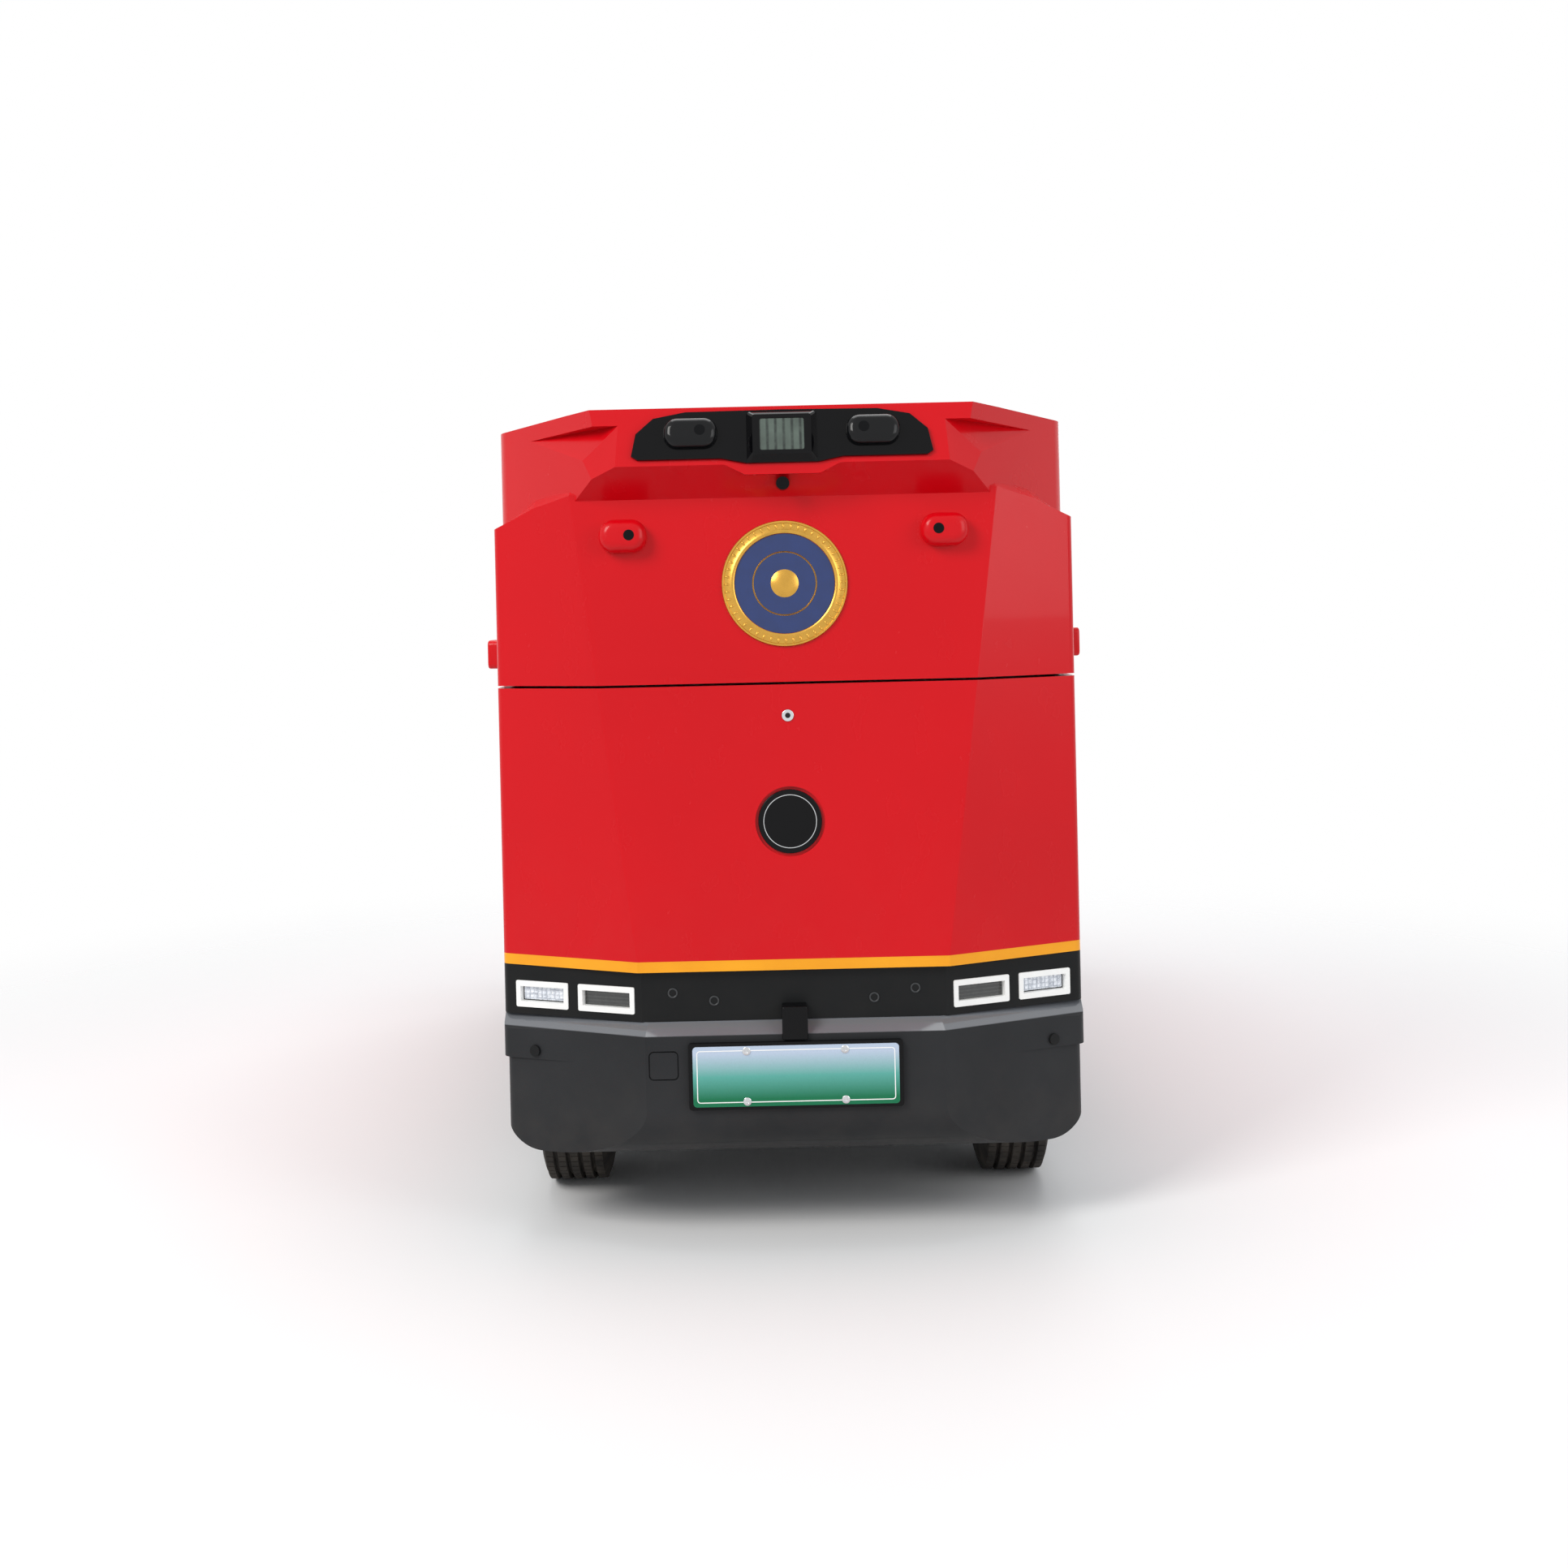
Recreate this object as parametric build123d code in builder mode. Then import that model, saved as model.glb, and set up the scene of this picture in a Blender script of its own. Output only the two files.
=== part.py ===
from build123d import *
import os
from math import atan2, cos, degrees, pi, radians, sin, sqrt, tan

# Unmanned fire truck, full size, in millimetres.
# The front faces -Y, +Z is up and +X is the vehicle's own left.
# The origin is on the ground under the middle of the vehicle.

# Overall sizes
LENGTH = 3300.0
BODY_WIDTH = 1400.0
FRONT_OVERHANG = 620.0
REAR_OVERHANG = 616.0
GROUND_CLEARANCE = 205.0

# Heights of the front's layers, stacked from the bumper's underside upwards
BUMPER_FACE = 294.0
LEDGE_RISE = 27.0
BAND_HEIGHT = 119.0
STRIPE_HEIGHT = 25.0
LOWER_PANEL_HEIGHT = 641.0
PANEL_SEAM = 6.0
UPPER_PANEL_HEIGHT = 438.0
UNDERCUT_RISE = 73.0
CROWN_FACE = 137.0

# Front form: a flat middle facet and two swept side facets
FACET_SWEEP = 0.494
NOSE_LEAN = 0.064
NOSE_SETBACK = 20.0
BAND_SETBACK = 38.0
BAND_FACET_HALF = 358.0
CORNER_SETBACK = 185.0
NOSE_DEPTH = 480.0
PANEL_WALL = 30.0
FACET_EDGE_ROUND = 7.0
NOSE_CORNER_ROUND = 22.0

# Crown: the visor with the sensors, above the nose
LIP_HALF_WIDTH = 390.0
LIP_SETBACK = 6.0
CROWN_TOP_HALF_WIDTH = 450.0
CROWN_TOP_SETBACK = 38.0
CROWN_SWEEP = 1.2
CROWN_CORNER_DROP = 22.0
CROWN_CORNER_ROUND = 70.0
BROW_DROP = 40.0
SHOULDER_DROP = 65.0
SHOULDER_START = 220.0
SHOULDER_BEND = 100.0
CROWN_OVER_ROOF = 25.0
ROOF_ROUND = 36.0

# Bumper
BUMPER_WALL = 35.0
BUMPER_DEPTH = 330.0
BUMPER_FACET_HALF = 350.0
BUMPER_CORNER_SETBACK = 165.0
BUMPER_SIDE_INSET = 9.0
BUMPER_EDGE_ROUND = 24.0
BUMPER_RIB_HEIGHT = 74.0
BUMPER_RIB_START = 520.0
BUMPER_UNDER_ROUND = 120.0
BUMPER_CORNER_ROUND = 90.0
LEDGE_DEPTH = 34.0
LEDGE_FLANGE = 112.0

# Number plate on the bumper's face
PLATE_Z = 406.0
PLATE_WIDTH = 480.0
PLATE_HEIGHT = 140.0
PLATE_THICKNESS = 2.0
BACKING_WIDTH = 500.0
BACKING_HEIGHT = 155.0
BACKING_THICKNESS = 12.0

# Box body behind the nose
WALL = 40.0
ROOF_THICKNESS = 35.0
BULKHEAD_THICKNESS = 40.0
PORTAL_DEPTH = 50.0
PORTAL_JAMB = 68.0
PORTAL_SILL = 45.0
PORTAL_HEADER = 70.0
DOOR_THICKNESS = 35.0
DOOR_GAP = 6.0
DOOR_SETBACK = 16.0
STRIPE_THICKNESS = 12.0
SIDE_GROOVE_DEPTH = 5.0

# Wheels, arches and running gear
TYRE_DIAMETER = 580.0
TYRE_WIDTH = 175.0
TRACK = 1124.0
RIM_DIAMETER = 356.0
RIM_WIDTH = 150.0
RIM_FLANGE = 12.0
RIM_WALL = 10.0
LINER_WALL = 4.5
KINGPIN_X = 490.0
SPINDLE_RADIUS = 22.0
HUB_RADIUS = 58.0
SKIRT_THICKNESS = 35.0
SKIRT_BASE = 235.0
RAIL_X = 270.0
RAIL_WIDTH = 60.0
RAIL_HEIGHT = 100.0
RAIL_BASE = 400.0
RAIL_GAUGE = 8.0
BEARER_WIDTH = 60.0
AXLE_TUBE_RADIUS = 36.0

# Clearances
SEAT_GAP = 0.3
ARCH_GAP = 0.5
OVERCUT = 20.0

# Derived planes and levels
HALF = BODY_WIDTH / 2
Y_FRONT = -LENGTH / 2 + BACKING_THICKNESS + PLATE_THICKNESS
Y_REAR = LENGTH / 2
Z_LEDGE = GROUND_CLEARANCE + BUMPER_FACE
Z_BAND = Z_LEDGE + LEDGE_RISE
Z_FLOOR_LOW = Z_BAND + BAND_HEIGHT
Z_FLOOR = Z_FLOOR_LOW + STRIPE_HEIGHT
Z_SEAM = Z_FLOOR + LOWER_PANEL_HEIGHT
Z_UPPER = Z_SEAM + PANEL_SEAM
Z_NOSE_TOP = Z_UPPER + UPPER_PANEL_HEIGHT
Z_SHOULDER = Z_NOSE_TOP - SHOULDER_DROP
Z_LIP = Z_NOSE_TOP + UNDERCUT_RISE
Z_TOP = Z_LIP + CROWN_FACE
Z_ROOF = Z_TOP - CROWN_OVER_ROOF
Z_ROOF_LOW = Z_ROOF - ROOF_THICKNESS
Y_CORNER = Y_FRONT + CORNER_SETBACK
Y_NOSE_BACK = Y_FRONT + NOSE_DEPTH
Y_PORTAL = Y_REAR - DOOR_SETBACK - PORTAL_DEPTH
Y_FRONT_AXLE = Y_FRONT + FRONT_OVERHANG
Y_REAR_AXLE = Y_REAR - REAR_OVERHANG
WHEELBASE = Y_REAR_AXLE - Y_FRONT_AXLE
WHEEL_Z = TYRE_DIAMETER / 2
ARCH_RADIUS = Z_FLOOR_LOW - WHEEL_Z - LINER_WALL - ARCH_GAP
WHEEL_X = TRACK / 2
SIDES = (("left", 1), ("right", -1))

os.makedirs("parts", exist_ok=True)


def save(builder, name):
    """Label a finished piece and write it to its own file."""
    builder.part.label = name
    export_step(builder.part, f"parts/{name}.step")


def nose_y(z):
    """Where the nose's middle facet stands at height z."""
    return Y_FRONT + NOSE_SETBACK + NOSE_LEAN * (z - Z_FLOOR)


def side_facet_y(x):
    """Where the nose's upright side facets stand at distance x from the centre line."""
    return Y_CORNER - (HALF - abs(x)) * FACET_SWEEP


def facet_half(z):
    """Half the width of the middle facet at height z, where it meets the side facets."""
    return HALF - (Y_CORNER - nose_y(z)) / FACET_SWEEP


def front_plan(front, half, corner, outer, inset, back):
    """Plan outline of a three-facet front, moved in by inset and closed along y = back."""
    sweep = atan2(corner - front, outer - half)
    inner_x = half - inset * tan(sweep / 2)
    outer_x = outer - inset
    corner_y = corner + inset * tan((pi / 2 - sweep) / 2)
    right = [(inner_x, front + inset), (outer_x, corner_y), (outer_x, back)]
    left = [(-x, y) for x, y in reversed(right)]
    return left + right


def nose_plan(z, inset=0.0, back=Y_NOSE_BACK):
    """Plan outline of the nose at height z."""
    return front_plan(nose_y(z), facet_half(z), Y_CORNER, HALF, inset, back)


def plan_face(z, points, rounds=()):
    """A level face at height z through plan points, with (corner number, radius) rounds."""
    with BuildSketch(Plane.XY.offset(z)) as sketch:
        with BuildLine():
            Polyline(*points, close=True)
        make_face()
        for index, radius in rounds:
            corner = sketch.vertices().sort_by_distance((*points[index], z))[0]
            fillet(corner, radius)
    return sketch.sketch


def wheel_space(y, radius):
    """A cylinder across the body at one axle, for cutting wheel arches."""
    with BuildSketch(Plane.YZ.offset(-HALF - OVERCUT)) as sketch:
        with Locations((y, WHEEL_Z)):
            Circle(radius)
    return extrude(sketch.sketch, amount=BODY_WIDTH + 2 * OVERCUT, mode=Mode.PRIVATE)


def side_face(x, points):
    """An upright face at x through (y, z) points."""
    with BuildSketch(Plane.YZ.offset(x)) as sketch:
        with BuildLine():
            Polyline(*points, close=True)
        make_face()
    return sketch.sketch


def across(points, half=HALF + OVERCUT):
    """A solid with one side profile of (y, z) points, reaching half to either side."""
    return extrude(side_face(-half, points), amount=2 * half, mode=Mode.PRIVATE)


def chevron(front, corner, outer, back):
    """Plan outline whose two sides meet on the centre line, with the outer corners as points 1 and 3."""
    return [(0, front), (outer, corner), (outer, back), (-outer, back), (-outer, corner)]


def beyond(a, b, c, reach=900.0):
    """The space on the outer side of a plane through three points, to be cut away."""
    normal = (Vector(*b) - Vector(*a)).cross(Vector(*c) - Vector(*a)).normalized()
    with BuildSketch(Plane(origin=a, z_dir=normal)) as sketch:
        Rectangle(reach, reach)
    return extrude(sketch.sketch, amount=reach / 2, mode=Mode.PRIVATE)


def front_face(y, points, rounds=()):
    """An upright face at y through (x, z) points, with (corner number, radius) rounds."""
    with BuildSketch(Plane(origin=(0, y, 0), x_dir=(1, 0, 0), z_dir=(0, -1, 0))) as sketch:
        with BuildLine():
            Polyline(*points, close=True)
        make_face()
        for index, radius in rounds:
            corner = sketch.vertices().sort_by_distance((points[index][0], y, points[index][1]))[0]
            fillet(corner, radius)
    return sketch.sketch
# Nose: the lower and upper panels, both open at the back

# Half of the nose's top edge from the middle outwards: distance from the centre line and height
CAP_HALF = (
    (facet_half(Z_NOSE_TOP), Z_NOSE_TOP),
    (HALF - SHOULDER_BEND, Z_NOSE_TOP - 0.35 * SHOULDER_DROP),
    (HALF + OVERCUT, Z_SHOULDER - 0.1 * SHOULDER_DROP),
)
cap_line = [(-x, z) for x, z in reversed(CAP_HALF)] + list(CAP_HALF)
cap_top = [(HALF + OVERCUT, Z_TOP + OVERCUT), (-HALF - OVERCUT, Z_TOP + OVERCUT)]
cap_bottom = [(HALF + OVERCUT, Z_FLOOR), (-HALF - OVERCUT, Z_FLOOR)]

# Brow camera in the visor's undercut
BROW_RADIUS = 16.0
BROW_Z = 1783.0
BROW_SOCKET = 70.0
BROW_PROUD = 48.0

# Round disc and lock ring on the lower panel
DISC_Z = 990.0
DISC_DIAMETER = 150.0
DISC_RECESS_DIAMETER = 164.0
DISC_RECESS_DEPTH = 10.0
DISC_THICKNESS = 8.0
LOCK_Z = 1238.0
LOCK_DIAMETER = 29.0
LOCK_PROUD = 3.0
LOCK_DEPTH = 15.0


def nose_plane(x, z):
    """A plane lying on the nose's middle facet, facing out."""
    lean = atan2(NOSE_LEAN, 1.0)
    return Plane(origin=(x, nose_y(z), z), x_dir=(1, 0, 0), z_dir=(0, -cos(lean), sin(lean)))


def side_facets(low, high, inset=0.0, back=Y_NOSE_BACK, corner_round=0.0):
    """A solid between the nose's upright side facets, moved in by inset."""
    step = inset * sqrt(1 + FACET_SWEEP ** 2)
    outer = HALF - inset
    points = chevron(side_facet_y(0) + step, side_facet_y(outer) + step, outer, back)
    rounds = [(1, corner_round), (4, corner_round)] if corner_round else []
    return extrude(plan_face(low, points, rounds), amount=high - low, mode=Mode.PRIVATE)


def nose_block(low, high, inset=0.0, back=Y_NOSE_BACK, corner_round=0.0):
    """A solid of the nose between two heights, moved in by inset."""
    profile = [(nose_y(low) + inset, low), (nose_y(high) + inset, high), (back, high), (back, low)]
    return side_facets(low, high, inset, back, corner_round) & across(profile)


def round_facet_edges(builder, z):
    """Round the two edges of the middle facet, found at height z."""
    for side_name, side in SIDES:
        facet_edge = builder.edges().sort_by_distance((side * facet_half(z), nose_y(z), z))[0]
        fillet(facet_edge, FACET_EDGE_ROUND)


with BuildPart() as nose_lower_panel:
    add(nose_block(Z_FLOOR, Z_SEAM, corner_round=NOSE_CORNER_ROUND))
    round_facet_edges(nose_lower_panel, (Z_FLOOR + Z_SEAM) / 2)
    add(
        nose_block(Z_FLOOR - OVERCUT, Z_SEAM + OVERCUT, PANEL_WALL, Y_NOSE_BACK + OVERCUT),
        mode=Mode.SUBTRACT,
    )
    with BuildSketch(nose_plane(0, DISC_Z)):
        Circle(DISC_RECESS_DIAMETER / 2)
    extrude(amount=-DISC_RECESS_DEPTH, mode=Mode.SUBTRACT)
    with BuildSketch(nose_plane(0, LOCK_Z)):
        Circle(LOCK_DIAMETER / 2)
    extrude(amount=-LOCK_DEPTH, mode=Mode.SUBTRACT)
save(nose_lower_panel, "nose_lower_panel")

with BuildPart() as nose_upper_panel:
    add(nose_block(Z_UPPER, Z_LIP, corner_round=NOSE_CORNER_ROUND))
    round_facet_edges(nose_upper_panel, (Z_UPPER + Z_LIP) / 2)
    add(
        nose_block(Z_UPPER - OVERCUT, Z_LIP + OVERCUT, PANEL_WALL, Y_NOSE_BACK + OVERCUT),
        mode=Mode.SUBTRACT,
    )
    extrude(front_face(Y_FRONT, cap_line + cap_top), amount=-LENGTH, mode=Mode.SUBTRACT)
save(nose_upper_panel, "nose_upper_panel")

with BuildPart() as round_disc:
    with BuildSketch(nose_plane(0, DISC_Z).offset(-DISC_RECESS_DEPTH)):
        Circle(DISC_DIAMETER / 2)
    extrude(amount=DISC_THICKNESS)
    fillet(round_disc.edges().filter_by(GeomType.CIRCLE).group_by(Axis.Y)[0], DISC_THICKNESS / 4)
save(round_disc, "round_disc")

with BuildPart() as panel_lock:
    with BuildSketch(nose_plane(0, LOCK_Z).offset(-LOCK_DEPTH)):
        Circle(LOCK_DIAMETER / 2 - SEAT_GAP)
    extrude(amount=LOCK_DEPTH + LOCK_PROUD)
    fillet(panel_lock.edges().filter_by(GeomType.CIRCLE).group_by(Axis.Y)[0], LOCK_PROUD / 2)
save(panel_lock, "panel_lock")

# Crown: a leaning visor over an undercut, with cheeks and long swept sides behind it,
# a brow along the top edge, a scoop under each end of the brow and shoulders down to the nose

CROWN_LEAN = (CROWN_TOP_SETBACK - LIP_SETBACK) / CROWN_FACE
CHEEK_TOP_HALF = 383.0
CHEEK_BACK_X = 460.0
SCOOP_LOW_X = 470.0
SCOOP_LOW_DROP = 117.0
SCOOP_END_X = 612.0
# Half of the beard that hangs below the visor's lip: distance from the centre line and height
BEARD_HALF = ((136.0, Z_LIP), (88.0, Z_LIP - 24.0))
BEARD_DEPTH = 60.0
SHOULDER_LIP = 3.0
# Stations of the shoulder: distance from the centre line, rise and depth of its ramp
SHOULDER_STATIONS = (
    (HALF - SHOULDER_START, 50.0, 44.0),
    (facet_half(Z_NOSE_TOP), 45.0, 60.0),
    (HALF - SHOULDER_BEND, 34.0, 84.0),
    (HALF, 10.0, 150.0),
)


def visor_y(z):
    """Where the visor's face stands at height z."""
    return Y_FRONT + LIP_SETBACK + CROWN_LEAN * (z - Z_LIP)


def crown_side_y(x):
    """Where the crown's swept side stands at distance x from the centre line."""
    return Y_FRONT + CROWN_TOP_SETBACK + (x - CROWN_TOP_HALF_WIDTH) * CROWN_SWEEP


def crown_top_z(y):
    """Height of the crown's falling top face at y."""
    corner_y = crown_side_y(HALF)
    return Z_TOP - CROWN_CORNER_DROP * (y - visor_y(Z_TOP)) / (corner_y - visor_y(Z_TOP))


def cap_z(x):
    """Height of the nose's top edge at distance x from the centre line."""
    for (near_x, near_z), (far_x, far_z) in zip(CAP_HALF, CAP_HALF[1:]):
        if x <= far_x:
            return min(near_z, near_z + (far_z - near_z) * (x - near_x) / (far_x - near_x))
    return CAP_HALF[-1][1]


def shoulder_section(side, x, rise, depth):
    """Upright section of the shoulder that ramps up and back from the nose panel's top edge."""
    low = cap_z(x)
    front = max(side_facet_y(x), nose_y(low))
    points = [
        (front - OVERCUT, low - OVERCUT),
        (front - OVERCUT, low + SHOULDER_LIP),
        (front + depth, low + rise),
        (Y_NOSE_BACK, low + rise),
        (Y_NOSE_BACK, low - OVERCUT),
    ]
    return side_face(side * x, points)


crown_profile = [
    (nose_y(Z_NOSE_TOP), Z_NOSE_TOP),
    (visor_y(Z_LIP), Z_LIP),
    (visor_y(Z_TOP), Z_TOP),
    (crown_side_y(HALF), crown_top_z(crown_side_y(HALF))),
    (Y_NOSE_BACK, Z_ROOF),
    (Y_NOSE_BACK, Z_SHOULDER - SHOULDER_DROP),
    (nose_y(Z_NOSE_TOP), Z_SHOULDER - SHOULDER_DROP),
]
crown_outline = [
    (-HALF, Z_SHOULDER - SHOULDER_DROP),
    (HALF, Z_SHOULDER - SHOULDER_DROP),
    (HALF, Z_ROOF),
    (CROWN_TOP_HALF_WIDTH, Z_TOP + 1),
    (-CROWN_TOP_HALF_WIDTH, Z_TOP + 1),
    (-HALF, Z_ROOF),
]

with BuildPart() as crown:
    extrude(
        plan_face(
            Z_SHOULDER - SHOULDER_DROP,
            chevron(crown_side_y(0), crown_side_y(HALF), HALF, Y_NOSE_BACK),
            [(1, CROWN_CORNER_ROUND), (4, CROWN_CORNER_ROUND)],
        ),
        amount=Z_TOP + OVERCUT - Z_SHOULDER + SHOULDER_DROP,
    )
    add(across(crown_profile), mode=Mode.INTERSECT)
    extrude(
        front_face(Y_FRONT - OVERCUT, crown_outline, [(2, ROOF_ROUND), (5, ROOF_ROUND)]),
        amount=-LENGTH,
        mode=Mode.INTERSECT,
    )
    below_brow = across(
        [(Y_FRONT - OVERCUT, crown_top_z(Y_FRONT - OVERCUT) - BROW_DROP),
         (Y_NOSE_BACK, crown_top_z(Y_NOSE_BACK) - BROW_DROP),
         (Y_NOSE_BACK, Z_SHOULDER - SHOULDER_DROP),
         (Y_FRONT - OVERCUT, Z_SHOULDER - SHOULDER_DROP)]
    )
    brow_low_z = crown_top_z(visor_y(Z_TOP)) - BROW_DROP
    scoop_low_z = Z_TOP - SCOOP_LOW_DROP
    scoop_end_y = crown_side_y(SCOOP_END_X)
    for side_name, side in SIDES:
        lip = (side * LIP_HALF_WIDTH, visor_y(Z_LIP), Z_LIP)
        brow = (side * CHEEK_TOP_HALF, visor_y(brow_low_z), brow_low_z)
        cheek_back = (side * CHEEK_BACK_X, crown_side_y(CHEEK_BACK_X), Z_LIP)
        scoop_low = (side * SCOOP_LOW_X, crown_side_y(SCOOP_LOW_X), scoop_low_z)
        scoop_end = (side * SCOOP_END_X, scoop_end_y, crown_top_z(scoop_end_y) - BROW_DROP)
        cheek = (lip, cheek_back, brow) if side > 0 else (lip, brow, cheek_back)
        scoop = (brow, scoop_low, scoop_end) if side > 0 else (brow, scoop_end, scoop_low)
        add(beyond(*cheek) & below_brow, mode=Mode.SUBTRACT)
        add(beyond(*scoop) & below_brow, mode=Mode.SUBTRACT)
    for side_name, side in SIDES:
        shoulder = loft(
            sections=[shoulder_section(side, x, rise, depth) for x, rise, depth in SHOULDER_STATIONS],
            ruled=True,
            mode=Mode.PRIVATE,
        )
        add(shoulder & nose_block(Z_SHOULDER - SHOULDER_DROP, Z_TOP, corner_round=NOSE_CORNER_ROUND))
    extrude(front_face(Y_FRONT - OVERCUT, cap_bottom + cap_line), amount=-LENGTH, mode=Mode.SUBTRACT)
    beard = [(-x, z) for x, z in BEARD_HALF] + [(x, z) for x, z in reversed(BEARD_HALF)]
    extrude(front_face(visor_y(Z_LIP), beard), amount=-BEARD_DEPTH)
    with BuildSketch(Plane.XZ.offset(-Y_FRONT - BROW_SOCKET)):
        with Locations((0, BROW_Z)):
            Circle(BROW_RADIUS)
    extrude(amount=BROW_SOCKET, mode=Mode.SUBTRACT)
save(crown, "crown")

# Front bumper: a cover that is open at the back, with a sloping ledge and raised side bands


BUMPER_SWEEP = BUMPER_CORNER_SETBACK / (HALF - BUMPER_SIDE_INSET - BUMPER_FACET_HALF)


def bumper_side_y(x):
    """Where the bumper's swept side facets stand at distance x from the centre line."""
    return Y_FRONT + (x - BUMPER_FACET_HALF) * BUMPER_SWEEP


def bumper_plan(inset=0.0, back=0.0):
    """Plan outline of the bumper, moved in by inset."""
    return front_plan(
        Y_FRONT,
        BUMPER_FACET_HALF,
        Y_FRONT + BUMPER_CORNER_SETBACK,
        HALF - BUMPER_SIDE_INSET,
        inset,
        Y_FRONT + BUMPER_DEPTH + back,
    )


TOW_X = -308.0
TOW_Z = 431.0
TOW_WIDTH = 70.0
TOW_HEIGHT = 68.0
TOW_DEPTH = 5.0
TOW_GROOVE = 3.0
TOW_ROUND = 12.0
CORNER_SENSOR_X = 618.0
CORNER_SENSOR_Z = 445.0
CORNER_SENSOR_DIAMETER = 27.0
SENSOR_PROUD = 1.5
SENSOR_DEPTH = 14.0
BRACKET_WIDTH = 60.0
BRACKET_BASE = 487.0
BRACKET_HEIGHT = 78.0


def facet_plane(front, half, corner, outer, x, z):
    """A plane on a swept side facet at x and z, facing out, with its own x axis level."""
    side = 1 if x > 0 else -1
    sweep = atan2(corner - front, outer - half)
    y = front + (abs(x) - half) * tan(sweep)
    return Plane(origin=(x, y, z), x_dir=(cos(sweep), side * sin(sweep), 0), z_dir=(side * sin(sweep), -cos(sweep), 0))


def bumper_facet(x, z):
    """A plane on the bumper's swept facet."""
    return facet_plane(
        Y_FRONT, BUMPER_FACET_HALF, Y_FRONT + BUMPER_CORNER_SETBACK, HALF - BUMPER_SIDE_INSET, x, z
    )


bumper_front_plane = Plane(origin=(0, Y_FRONT, 0), x_dir=(1, 0, 0), z_dir=(0, -1, 0))
# The ledge's three sloping faces, each through three points
LEDGE_BACK = LEDGE_DEPTH * sqrt(1 + BUMPER_SWEEP ** 2)
ledge_corner_y = bumper_side_y(HALF)
LEDGE_PLANES = (
    ((0, Y_FRONT, Z_LEDGE), (HALF, Y_FRONT, Z_LEDGE), (0, Y_FRONT + LEDGE_DEPTH, Z_BAND)),
    (
        (HALF, ledge_corner_y, Z_LEDGE),
        (HALF, ledge_corner_y + LEDGE_BACK, Z_BAND),
        (BUMPER_FACET_HALF, Y_FRONT, Z_LEDGE),
    ),
    (
        (-HALF, ledge_corner_y, Z_LEDGE),
        (-BUMPER_FACET_HALF, Y_FRONT, Z_LEDGE),
        (-HALF, ledge_corner_y + LEDGE_BACK, Z_BAND),
    ),
)

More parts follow.
